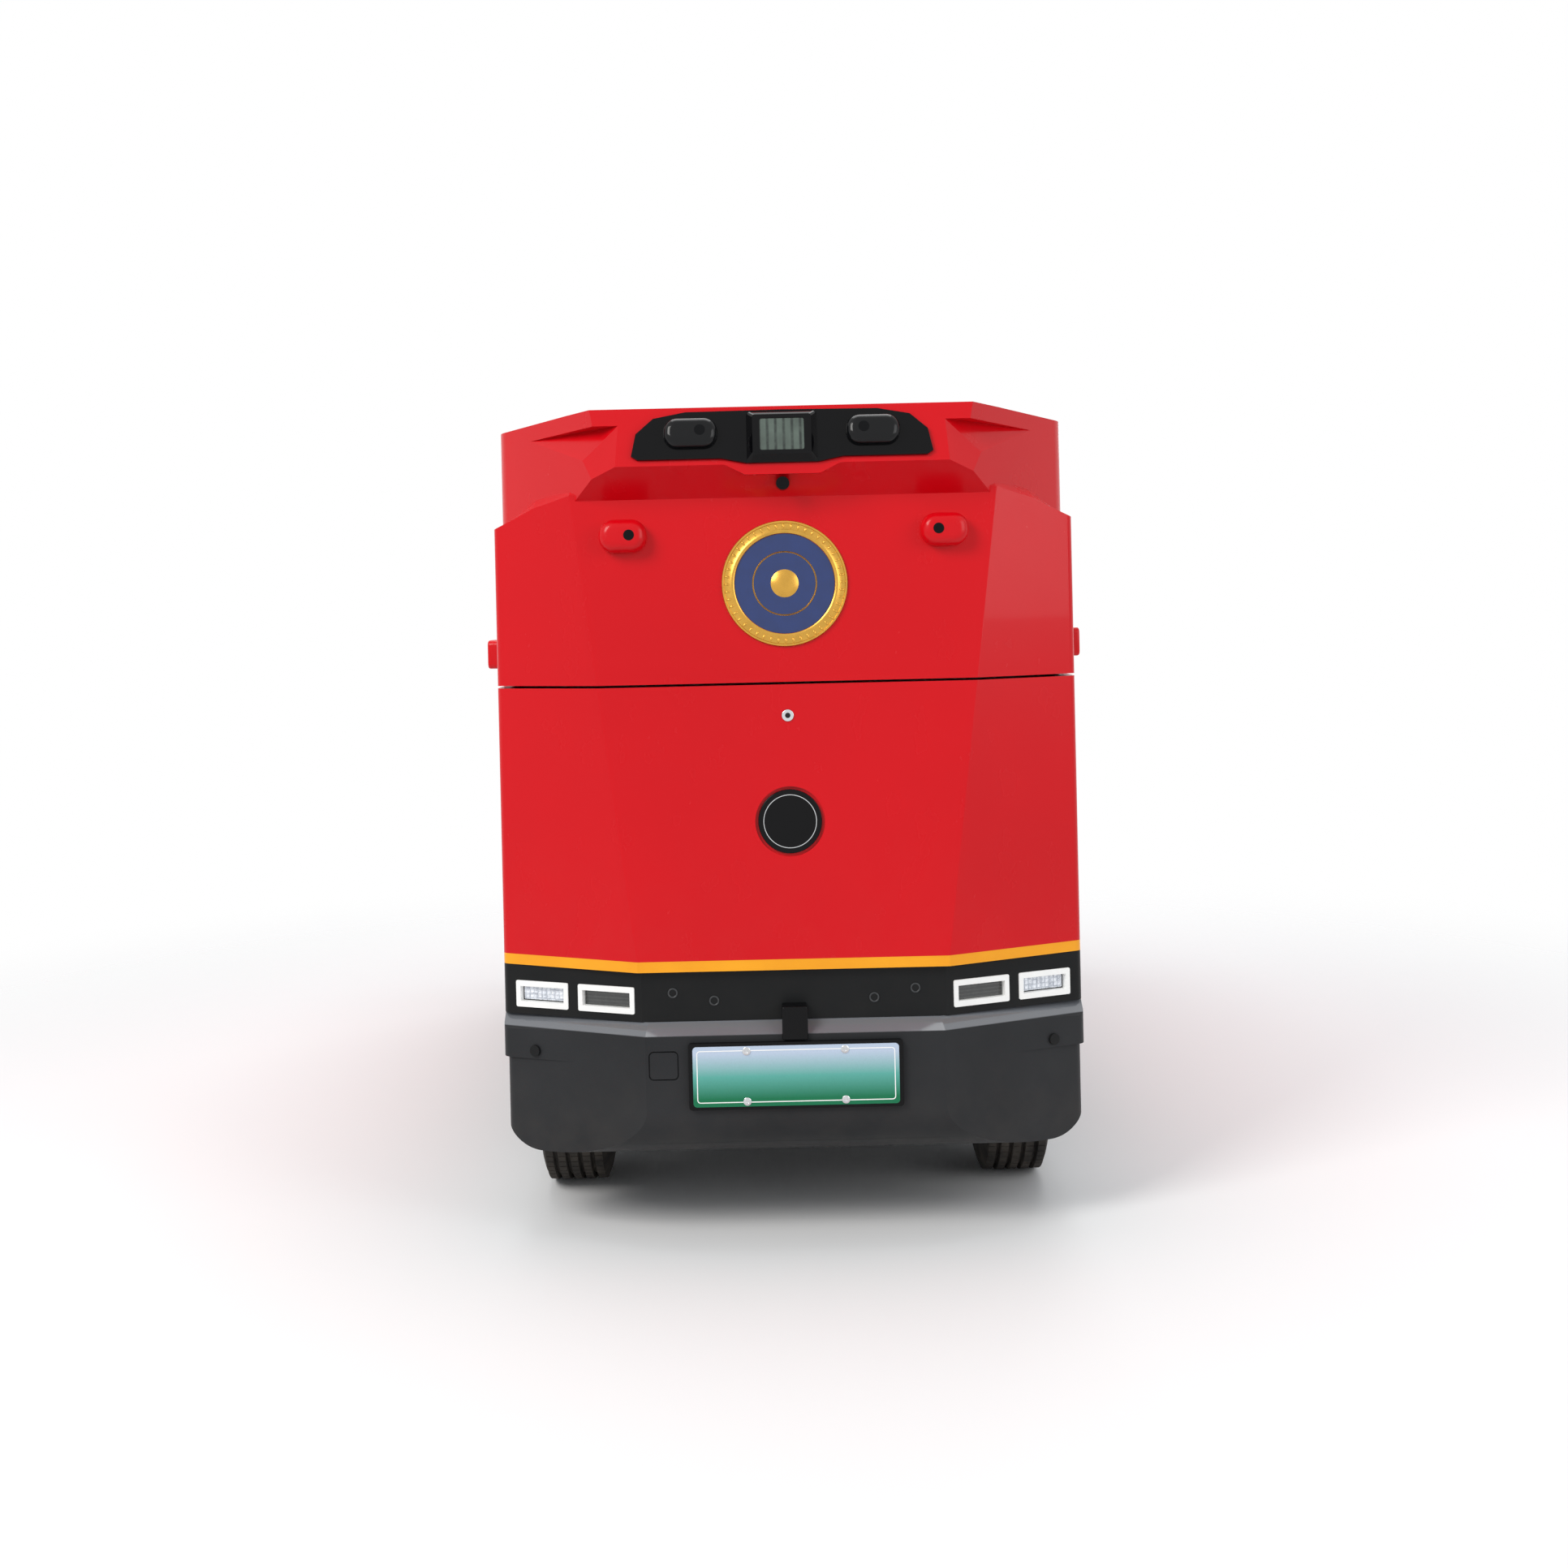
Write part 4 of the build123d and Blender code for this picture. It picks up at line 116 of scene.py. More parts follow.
class Graph(Wiring):
    """A material's node tree, with calls for textures and sums on object coordinates."""

    def __init__(self, name: str) -> None:
        """Start a named material with a cleared tree."""
        self.material = bpy.data.materials.new(name)
        self.material.use_nodes = True
        super().__init__(self.material.node_tree)
        self.tree.nodes.clear()
        self.output = self.add("ShaderNodeOutputMaterial")
        self.shader = self.add("ShaderNodeBsdfPrincipled")
        self.join(self.shader.outputs[0], self.output.inputs["Surface"])
        self.sockets = self.shader.inputs
        self.place = self.add("ShaderNodeTexCoord").outputs["Object"]

    def noise(self, scale: float, detail: float = 3.0,
              stretch: Place = (1.0, 1.0, 1.0)) -> Socket:
        """Add noise on object coordinates.

        Args:
            scale: Cells per metre.
            detail: Octaves of the noise.
            stretch: Factors on the three axes.

        Returns:
            The noise's factor socket.
        """
        source = self.place
        if stretch != (1.0, 1.0, 1.0):
            mapping = self.add("ShaderNodeMapping")
            mapping.inputs["Scale"].default_value = stretch
            self.join(self.place, mapping.inputs["Vector"])
            source = mapping.outputs["Vector"]
        noise = self.add("ShaderNodeTexNoise")
        noise.inputs["Scale"].default_value = scale
        noise.inputs["Detail"].default_value = detail
        self.join(source, noise.inputs["Vector"])
        return noise.outputs["Fac"]

    def cells(self, scale: float) -> Socket:
        """Add Voronoi cells on object coordinates and return their distance socket."""
        cells = self.add("ShaderNodeTexVoronoi")
        cells.inputs["Scale"].default_value = scale
        self.join(self.place, cells.inputs["Vector"])
        return cells.outputs["Distance"]

    def axis(self, letter: str) -> Socket:
        """Return the object coordinate along one axis."""
        split = self.add("ShaderNodeSeparateXYZ")
        self.join(self.place, split.inputs[0])
        return split.outputs[letter]

    def sums(self, operation: str, first: object, second: object = 0.0) -> Socket:
        """Add a Math node on sockets or numbers and return its result."""
        node = self.add("ShaderNodeMath", operation=operation)
        for slot, value in zip(node.inputs, (first, second)):
            if isinstance(value, Socket):
                self.join(value, slot)
            else:
                slot.default_value = float(value)
        return node.outputs[0]

    def spread(self, value: Socket, low: float, high: float, start: float = 0.0,
               end: float = 1.0) -> Socket:
        """Map a value from one range onto another, held at both ends.

        Args:
            value: Socket to map.
            low: Result at the start of the range.
            high: Result at its end.
            start: Start of the incoming range.
            end: End of the incoming range.

        Returns:
            The mapped socket.
        """
        node = self.add("ShaderNodeMapRange", clamp=True)
        for slot, number in zip(node.inputs[1:5], (start, end, low, high)):
            slot.default_value = number
        self.join(value, node.inputs["Value"])
        return node.outputs["Result"]

    def blend(self, share: Socket, low: object, high: object) -> Socket:
        """Mix two colours or colour sockets by the second one's share, from 0 to 1."""
        node = self.add("ShaderNodeMix", data_type="RGBA")
        self.join(share, node.inputs[0])
        for slot, value in ((node.inputs[6], low), (node.inputs[7], high)):
            if isinstance(value, Socket):
                self.join(value, slot)
            else:
                slot.default_value = (*value, 1.0)
        return node.outputs[2]

    def relief(self, height: Socket, depth: float) -> None:
        """Raise the surface by a height from 0 to 1, where 1 stands for a depth in metres."""
        bump = self.add("ShaderNodeBump")
        bump.inputs["Strength"].default_value = 1.0
        bump.inputs["Distance"].default_value = depth
        self.join(height, bump.inputs["Height"])
        self.join(bump.outputs[0], self.sockets["Normal"])


@dataclass(frozen=True)
class Finish:
    """A surface finish: a colour that varies a little, a sheen and a fine relief.

    The mottling is its share and its cells per metre, the grain is its kind, its cells per metre and its
    depth in metres, and the dust is its share and the height in metres where it ends. The painted glow is
    the strength with which the colour also shines as emission, a painted brightness on white parts.
    """

    name: str
    colour: Colour
    roughness: float
    metallic: float = 0.0
    specular: float = 0.5
    coat: float = 0.0
    coat_roughness: float = 0.04
    mottle: tuple[float, float] = (0.05, 4.0)
    grain: tuple[Grain, float, float] = (Grain.PEEL, 260.0, 0.00002)
    dust: tuple[float, float] = (0.0, 0.7)
    painted_glow: float = 0.0

    def shade(self, graph: Graph) -> Socket:
        """Lay the colour, the road dust and the roughness into a graph and return the colour's socket."""
        mottle, scale = self.mottle
        cloud = graph.noise(scale, 4.0)
        dark = tuple(level * (1 - mottle) for level in self.colour)
        light = tuple(min(1.0, level * (1 + mottle)) for level in self.colour)
        colour = graph.blend(graph.spread(cloud, 0.0, 1.0, 0.3, 0.7), dark, light)
        streaks = graph.noise(scale * 9, 5.0, FLAT_CELLS)
        rough = graph.spread(streaks, self.roughness * 0.94, min(1.0, self.roughness * 1.08), 0.3, 0.7)
        dust, top = self.dust
        if dust > 0:
            height = graph.spread(graph.axis("Z"), 1.0, 0.0, 0.05, top)
            patch = graph.spread(graph.noise(14.0, 6.0), 0.15, 1.0, 0.35, 0.7)
            share = graph.sums("MULTIPLY", graph.sums("MULTIPLY", height, patch), dust)
            colour = graph.blend(share, colour, ROAD_DUST)
            rough = graph.sums("ADD", rough, graph.sums("MULTIPLY", share, 0.35))
        graph.join(rough, graph.sockets["Roughness"])
        return colour

    def raise_grain(self, graph: Graph) -> None:
        """Give the material its fine relief."""
        kind, scale, depth = self.grain
        if kind is Grain.LEATHER:
            pits = graph.spread(graph.cells(scale), 0.0, 1.0, 0.0, 0.6)
            height = graph.sums("MULTIPLY", pits, graph.spread(graph.noise(scale * 0.4), 0.6, 1.0))
        elif kind is Grain.RUBBER:
            height = graph.noise(scale, 6.0)
        elif kind is Grain.CAST:
            height = graph.noise(scale, 5.0, FLAT_CELLS)
        else:
            height = graph.noise(scale, 1.0)
        graph.relief(height, depth)

    def finished(self, graph: Graph, colour: Socket, grained: bool = True) -> bpy.types.Material:
        """Set the colour, the shader's constants and, if grained, the grain, and return the material."""
        graph.join(colour, graph.sockets["Base Color"])
        # Painted glow: the colour also shines as emission, which brightens the white bezels, the plate rim
        # and crystal optics.
        if self.painted_glow > 0:
            graph.join(colour, graph.sockets["Emission Color"])
            graph.sockets["Emission Strength"].default_value = self.painted_glow
        graph.sockets["Metallic"].default_value = self.metallic
        graph.sockets["Specular IOR Level"].default_value = self.specular
        graph.sockets["Coat Weight"].default_value = self.coat
        graph.sockets["Coat Roughness"].default_value = self.coat_roughness
        if grained:
            self.raise_grain(graph)
        return graph.material

    def build(self) -> bpy.types.Material:
        """Make the material."""
        graph = Graph(self.name)
        return self.finished(graph, self.shade(graph))


@dataclass(frozen=True)
class LinedFinish(Finish):
    """A lacquered panel whose inner side has a pale lining."""

    axis: str = "X"
    outer: float = 0.69
    lining: Colour = (0.55, 0.56, 0.56)

    def build(self) -> bpy.types.Material:
        """Make the material, with the lining where the coordinate is within the outer skin."""
        graph = Graph(self.name)
        colour = self.shade(graph)
        reach = graph.sums("ABSOLUTE", graph.axis(self.axis))
        inside = graph.sums("LESS_THAN", reach, self.outer)
        scuffs = graph.blend(
            graph.spread(graph.noise(22.0, 6.0, (1.0, 0.3, 1.0)), 0.0, 1.0, 0.45, 0.75),
            self.lining,
            tuple(level * 0.92 for level in self.lining),
        )
        return self.finished(graph, graph.blend(inside, colour, scuffs))


@dataclass(frozen=True)
class LedgeFinish(Finish):
    """Grained plastic whose sloping ledge is smooth and lacquered, with a painted reflection in light grey.
    """

    ledge_low: float = 0.4985
    ledge_painted_reflection: Colour = srgb(112, 115, 120)
    ledge_roughness: float = 0.16

    def build(self) -> bpy.types.Material:
        """Make the material, lacquered and painted reflection grey above the ledge's lower edge."""
        graph = Graph(self.name)
        colour = self.shade(graph)
        above = graph.spread(graph.axis("Z"), 0.0, 1.0, self.ledge_low, self.ledge_low + 0.002)
        rough = graph.sockets["Roughness"].links[0].from_socket
        kept = graph.sums("MULTIPLY", rough, graph.spread(above, 1.0, 0.0, 0.0, 1.0))
        lacquered = graph.sums("MULTIPLY", above, self.ledge_roughness)
        graph.join(graph.sums("ADD", kept, lacquered), graph.sockets["Roughness"])
        graph.join(above, graph.sockets["Coat Weight"])
        # Painted reflection: above the ledge's edge the base colour turns light grey, standing for the sky's
        # reflection.
        return self.finished(graph, graph.blend(above, colour, self.ledge_painted_reflection))


@dataclass(frozen=True)
class PlateFinish(Finish):
    """A blank reflective plate, pale above and green below."""

    top: Colour = srgb(190, 205, 225)
    middle: Colour = srgb(92, 172, 160)
    base: Colour = srgb(0, 112, 72)
    low_z: float = 0.336
    high_z: float = 0.476

    def build(self) -> bpy.types.Material:
        """Make the material with its upright fade."""
        graph = Graph(self.name)
        height = graph.spread(graph.axis("Z"), 0.0, 1.0, self.low_z, self.high_z)
        ramp = graph.add("ShaderNodeValToRGB")
        stops = ramp.color_ramp.elements
        stops[0].position, stops[0].color = 0.12, (*self.base, 1.0)
        stops[1].position, stops[1].color = 0.88, (*self.top, 1.0)
        stops.new(0.5).color = (*self.middle, 1.0)
        graph.join(height, ramp.inputs[0])
        fleck = graph.spread(graph.cells(420.0), 0.94, 1.03, 0.0, 0.5)
        tone = graph.add("ShaderNodeHueSaturation")
        graph.join(ramp.outputs[0], tone.inputs["Color"])
        graph.join(fleck, tone.inputs["Value"])
        rough = graph.spread(graph.noise(30.0), self.roughness * 0.8, self.roughness * 1.2)
        graph.join(rough, graph.sockets["Roughness"])
        return self.finished(graph, tone.outputs[0])


@dataclass(frozen=True)
class GlassFinish(Finish):
    """Tinted glass, seen as a glossy window with faint bars or prisms behind it."""

    bars: float = 0.0
    bar_colour: Colour = (0.05, 0.06, 0.055)
    bar_axis: str = "X"
    prisms: float = 0.0

    def build(self) -> bpy.types.Material:
        """Make the material, with its bars and prisms."""
        graph = Graph(self.name)
        colour = self.shade(graph)
        if self.bars > 0:
            turns = graph.sums("MULTIPLY", graph.axis(self.bar_axis), self.bars * FULL_TURN)
            share = graph.spread(graph.sums("SINE", turns), 0.0, 1.0, 0.1, 0.9)
            share = graph.sums("MULTIPLY", share, graph.spread(graph.noise(60.0), 0.5, 1.0, 0.3, 0.6))
            colour = graph.blend(share, colour, self.bar_colour)
        if self.prisms > 0:
            facet = graph.add("ShaderNodeTexVoronoi", feature="F1", distance="CHEBYCHEV")
            facet.inputs["Scale"].default_value = self.prisms
            facet.inputs["Randomness"].default_value = 0.25
            graph.join(graph.place, facet.inputs["Vector"])
            share = graph.spread(facet.outputs["Distance"], 0.0, 1.0, 0.25, 0.6)
            colour = graph.blend(share, colour, self.bar_colour)
            graph.relief(facet.outputs["Distance"], 0.002)
        return self.finished(graph, colour, self.prisms == 0)


LACQUER_PEEL = (Grain.PEEL, 420.0, 0.000012)
LACQUER = {"specular": 0.18, "coat": 0.14, "mottle": (0.04, 1.6), "grain": LACQUER_PEEL}


@dataclass
class PaintShop:
    """Every finish of the truck, each made once when it is first asked for."""

    made: dict[str, bpy.types.Material] = field(default_factory=dict)

    FINISHES = (
        Finish("body_red", LACQUER_RED, 0.26, **LACQUER, dust=(0.05, 1.0)),
        LinedFinish("wall_red", LACQUER_RED, 0.26, **LACQUER, dust=(0.05, 1.0)),
        LinedFinish("door_red", LACQUER_RED, 0.26, **LACQUER, axis="Y", outer=1.615),
        LinedFinish("roof_red", LACQUER_RED, 0.5, specular=0.14, mottle=(0.05, 1.6), grain=LACQUER_PEEL,
                    axis="Z", outer=1.9055),
        Finish("lining_grey", srgb(196, 198, 198), 0.5, mottle=(0.06, 7.0),
               grain=(Grain.CAST, 240.0, 0.00008)),
        Finish("gloss_black", srgb(7, 7, 9), 0.07, specular=0.14, coat=0.06, coat_roughness=0.02,
               mottle=(0.15, 4.0), grain=(Grain.PEEL, 260.0, 0.000004)),
        Finish("band_black", srgb(27, 28, 29), 0.36, specular=0.12, mottle=(0.1, 6.0),
               grain=(Grain.CAST, 700.0, 0.00002), dust=(0.06, 0.7)),
        LedgeFinish("bumper_grey", srgb(42, 43, 45), 0.44, specular=0.16, mottle=(0.12, 5.0),
                    grain=(Grain.LEATHER, 480.0, 0.0001), dust=(0.1, 0.45)),
        Finish("rear_grey", srgb(42, 43, 45), 0.48, specular=0.16, mottle=(0.12, 5.0),
               grain=(Grain.LEATHER, 480.0, 0.0001), dust=(0.15, 0.6)),
        Finish("sensor_grey", srgb(58, 60, 62), 0.36, specular=0.3, mottle=(0.08, 40.0),
               grain=(Grain.CAST, 900.0, 0.00001)),
        Finish("visor_black", srgb(12, 13, 15), 0.16, specular=0.2, coat=0.1, coat_roughness=0.03,
               mottle=(0.12, 4.0), grain=(Grain.PEEL, 260.0, 0.000004)),
        Finish("skirt_grey", srgb(40, 40, 43), 0.55, specular=0.18, mottle=(0.14, 4.0),
               grain=(Grain.LEATHER, 420.0, 0.00014), dust=(0.28, 0.7)),
        Finish("stripe_amber", srgb(255, 168, 30), 0.3, specular=0.25, coat=0.1, mottle=(0.06, 9.0),
               grain=(Grain.PEEL, 700.0, 0.000015), dust=(0.05, 0.8)),
        # Painted glow: the white bezels, the plate rim and the crystal optics shine faintly.
        Finish("lamp_white", srgb(240, 240, 238), 0.3, mottle=(0.02, 20.0),
               grain=(Grain.CAST, 900.0, 0.00001), painted_glow=0.12),
        GlassFinish("lamp_crystal", srgb(226, 230, 236), 0.12, coat=0.6, mottle=(0.1, 60.0), prisms=95.0,
                    bar_colour=srgb(150, 156, 168), painted_glow=0.18),
        GlassFinish("lamp_smoke", srgb(40, 42, 42), 0.08, coat=0.8, coat_roughness=0.02,
                    mottle=(0.35, 30.0), bars=120.0, bar_colour=srgb(62, 64, 62), bar_axis="Z"),
        GlassFinish("lidar_glass", srgb(84, 96, 88), 0.1, specular=0.3, coat=0.3, mottle=(0.2, 24.0),
                    bars=52.0, bar_colour=srgb(42, 50, 46)),
        GlassFinish("lens_glass", srgb(4, 5, 8), 0.03, specular=0.12, coat=0.05, coat_roughness=0.01,
                    mottle=(0.3, 80.0), grain=(Grain.PEEL, 260.0, 0.0)),
        GlassFinish("tail_glass", srgb(150, 8, 10), 0.12, coat=0.7, mottle=(0.15, 30.0), prisms=120.0,
                    bar_colour=srgb(92, 4, 6)),
        PlateFinish("plate_fade", srgb(120, 190, 178), 0.32, specular=0.35,
                    grain=(Grain.CAST, 800.0, 0.00002)),
        Finish("steel_bright", srgb(206, 208, 210), 0.24, metallic=1.0, mottle=(0.06, 30.0),
               grain=(Grain.CAST, 600.0, 0.00003)),
        Finish("rim_silver", srgb(168, 170, 173), 0.34, metallic=0.85, mottle=(0.06, 12.0),
               grain=(Grain.CAST, 500.0, 0.00003), dust=(0.25, 0.6)),
        Finish("chassis_black", srgb(26, 26, 28), 0.5, specular=0.25, mottle=(0.18, 8.0),
               grain=(Grain.CAST, 320.0, 0.00008), dust=(0.3, 0.8)),
        Finish("cast_iron", srgb(74, 74, 77), 0.5, metallic=0.7, mottle=(0.16, 20.0),
               grain=(Grain.CAST, 260.0, 0.00015), dust=(0.25, 0.6)),
        Finish("battery_grey", srgb(92, 96, 100), 0.42, metallic=0.6, mottle=(0.1, 7.0),
               grain=(Grain.CAST, 240.0, 0.00008), dust=(0.2, 0.8)),
        Finish("tyre_rubber", srgb(32, 32, 33), 0.78, specular=0.2, mottle=(0.16, 14.0),
               grain=(Grain.RUBBER, 340.0, 0.00022), dust=(0.3, 0.5)),
        Finish("seal_rubber", srgb(18, 18, 19), 0.72, specular=0.3, mottle=(0.12, 22.0),
               grain=(Grain.RUBBER, 500.0, 0.00008)),
        Finish("badge_gold", srgb(206, 158, 70), 0.28, metallic=0.9, mottle=(0.08, 40.0),
               grain=(Grain.CAST, 700.0, 0.00002)),
        Finish("badge_blue", srgb(20, 46, 104), 0.22, coat=0.3, mottle=(0.08, 30.0),
               grain=(Grain.PEEL, 500.0, 0.00001)),
    )

    def get(self, name: str) -> bpy.types.Material:
        """Return the material of a named finish, made on its first use."""
        if name not in self.made:
            found = [finish for finish in self.FINISHES if finish.name == name]
            self.made[name] = found[0].build()
        return self.made[name]


@dataclass
class Bench:
    """Where meshes are shaped, finished and put on the truck."""

    shop: PaintShop
    pieces: list[str] = field(default_factory=list)

    @staticmethod
    def soften(mesh: Shape, geom: list, offset: float, segments: int,
               affect: str = "EDGES") -> None:
        """Round edges or corners of a mesh by an offset."""
        bmesh.ops.bevel(mesh, geom=geom, offset=offset, affect=affect, segments=segments, profile=0.5,
                        material=-1)

    @staticmethod
    def ring_profile(mesh: Shape, points: list[tuple[float, float]],
                     closed: bool = False) -> list:
        """Lay a chain of edges in the X-Z plane, to be spun about the X axis.

        Args:
            mesh: Mesh to add to.
            points: Places along the X axis and radii.
            closed: Whether the last point joins the first.

        Returns:
            The vertices and edges of the chain.
        """
        chain = [mesh.verts.new((x, 0.0, radius)) for x, radius in points]
        pairs = list(zip(chain, chain[1:])) + ([(chain[-1], chain[0])] if closed else [])
        return chain + [mesh.edges.new(pair) for pair in pairs]

    def turned(self, points: list[tuple[float, float]], steps: int,
               closed: bool = False) -> Shape:
        """Spin a profile a full turn about the X axis.

        Args:
            points: Places along the X axis and radii.
            steps: Number of steps in the turn.
            closed: Whether the profile is a closed loop.

        Returns:
            The turned mesh.
        """
        mesh = bmesh.new()
        chain = self.ring_profile(mesh, points, closed)
        bmesh.ops.spin(mesh, geom=chain, cent=(0, 0, 0), axis=(1, 0, 0), angle=FULL_TURN, steps=steps,
                       use_merge=True)
        bmesh.ops.remove_doubles(mesh, verts=mesh.verts, dist=1e-6)
        bmesh.ops.recalc_face_normals(mesh, faces=mesh.faces)
        return mesh

    def block(self, width: float, height: float, depth: float, corner: float, edge: float,
              segments: tuple[int, int] = (6, 3)) -> Shape:
        """Make a block with rounded upright corners and a softened front rim.

        The block's front lies at z = 0 of its own frame and its depth runs to -z.

        Args:
            width: Size along x.
            height: Size along y.
            depth: Size along z.
            corner: Radius of the four corners.
            edge: Width of the softened front rim.
            segments: Facets of a corner and of the rim.

        Returns:
            The block's mesh.
        """
        mesh = bmesh.new()
        bmesh.ops.create_cube(mesh, size=1.0)
        bmesh.ops.scale(mesh, verts=mesh.verts, vec=(width, height, depth))
        bmesh.ops.translate(mesh, verts=mesh.verts, vec=(0, 0, -depth / 2))
        upright = [e for e in mesh.edges if abs(e.verts[0].co.z - e.verts[1].co.z) > depth / 2]
        self.soften(mesh, upright, corner, segments[0])
        front = [e for e in mesh.edges if all(abs(v.co.z) < 1e-7 for v in e.verts)]
        self.soften(mesh, front, edge, segments[1])
        return mesh

    def frame_ring(self, width: float, height: float, band: float, depth: float,
                   corner: float) -> Shape:
        """Make a thin rounded frame whose front lies at z = 0 of its own frame.

        Args:
            width: Outer size along x.
            height: Outer size along y.
            band: Width of the frame's band.
            depth: Thickness along z.
            corner: Radius of the outer corners.

        Returns:
            The frame's mesh.
        """
        mesh = bmesh.new()
        bmesh.ops.create_grid(mesh, x_segments=1, y_segments=1, size=0.5)
        bmesh.ops.scale(mesh, verts=mesh.verts, vec=(width, height, 1.0))
        self.soften(mesh, list(mesh.verts), corner, 6, "VERTICES")
        middle = list(mesh.faces)
        bmesh.ops.inset_region(mesh, faces=middle, thickness=band, use_even_offset=True, use_boundary=True)
        bmesh.ops.delete(mesh, geom=middle, context="FACES")
        bmesh.ops.recalc_face_normals(mesh, faces=mesh.faces)
        bmesh.ops.solidify(mesh, geom=list(mesh.faces), thickness=depth)
        low = min(v.co.z for v in mesh.verts) + depth
        bmesh.ops.translate(mesh, verts=mesh.verts, vec=(0, 0, -low))
        bmesh.ops.recalc_face_normals(mesh, faces=mesh.faces)
        return mesh

    @staticmethod
    def facing(origin: Place | Vector, outward: Place | Vector) -> Matrix:
        """Return a frame at a place whose z axis points outward and whose x axis is level."""
        z_axis = Vector(outward).normalized()
        x_axis = Vector((0, 0, 1)).cross(z_axis).normalized()
        y_axis = z_axis.cross(x_axis)
        turn = Matrix((x_axis, y_axis, z_axis)).transposed().to_4x4()
        return Matrix.Translation(Vector(origin)) @ turn

    def put(self, mesh: Shape, name: str, finish: str, body: str = "body",
            place: Matrix | None = None, slot: str = "", crease: float = 32.0) -> bpy.types.Object:
        """Turn a shaped mesh into a finished piece that rides on a body.

        Args:
            mesh: The shaped mesh, which is freed.
            name: Name of the piece.
            finish: Name of its finish.
            body: Body that it rides on.
            place: Frame that the mesh is set into.
            slot: Not used.
            crease: Angle in degrees above which an edge stays sharp.

        Returns:
            The piece.
        """
        if place is not None:
            bmesh.ops.transform(mesh, matrix=place, verts=mesh.verts)
        data = bpy.data.meshes.new(name)
        mesh.to_mesh(data)
        mesh.free()
        data.materials.append(self.shop.get(finish))
        data.shade_smooth()
        data.set_sharp_from_angle(angle=radians(crease))
        piece = bpy.data.objects.new(name, data)
        bpy.context.scene.collection.objects.link(piece)
        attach(piece, body)
        self.pieces.append(name)
        LOG.info("made %s on %s", name, body)
        return piece

    @staticmethod
    def joined(parts: list[tuple[Shape, Matrix]]) -> Shape:
        """Join shaped meshes into one, each set into its own frame, and free them."""
        whole = bmesh.new()
        for mesh, place in parts:
            bmesh.ops.transform(mesh, matrix=place, verts=mesh.verts)
            data = bpy.data.meshes.new("part")
            mesh.to_mesh(data)
            mesh.free()
            whole.from_mesh(data)
            bpy.data.meshes.remove(data)
        return whole


@dataclass
class Bodywork:
    """The nodes that come from the CAD frame, each with its finish."""

    bench: Bench
    NODES_OF: tuple[tuple[str, str], ...] = (
        ("body_red", "crown nose_upper_panel nose_lower_panel rear_portal camera_pods"),
        ("wall_red", "side_wall_left side_wall_right"),
        ("roof_red", "cargo_roof"),
        ("lining_grey", "cargo_bulkhead floor_slab"),
        ("door_red", "rear_door_left rear_door_right"),
        ("chassis_black", "door_handle arch_liners chassis_rails cross_members front_subframe rear_springs"),
        ("tail_glass", "tail_lamps"),
        ("rear_grey", "rear_bumper"),
        ("skirt_grey", "side_skirts"),
        ("battery_grey", "battery_pack"),
        ("cast_iron", "front_wishbones spring_struts steering_rack rear_axle knuckle_left knuckle_right"),
        ("rim_silver", "rim_front_left rim_front_right rim_rear_left rim_rear_right"),
        ("tyre_rubber", "tyre_front_left tyre_front_right tyre_rear_left tyre_rear_right"),
        ("bumper_grey", "front_bumper"),
        ("band_black", "lamp_band round_sensors"),
        ("lamp_white", "lamp_bezels"),
        ("seal_rubber", "lamp_lenses"),
        ("gloss_black", "plate_backing bumper_bracket sensor_panel lidar_housing crown_cameras round_disc"),
        ("plate_fade", "front_plate"),
        ("lidar_glass", "lidar_window"),
        ("lens_glass", "camera_lenses"),
        ("steel_bright", "panel_lock"),
        ("stripe_amber", "trim_stripe"),
    )

    def dress(self) -> None:
        """Give every carried-over node its finish."""
        for finish, nodes in self.NODES_OF:
            for node in nodes.split():
                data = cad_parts[node].data
                data.materials.clear()
                data.materials.append(self.bench.shop.get(finish))
        LOG.info("dressed the nodes with %d finishes", len(self.NODES_OF))


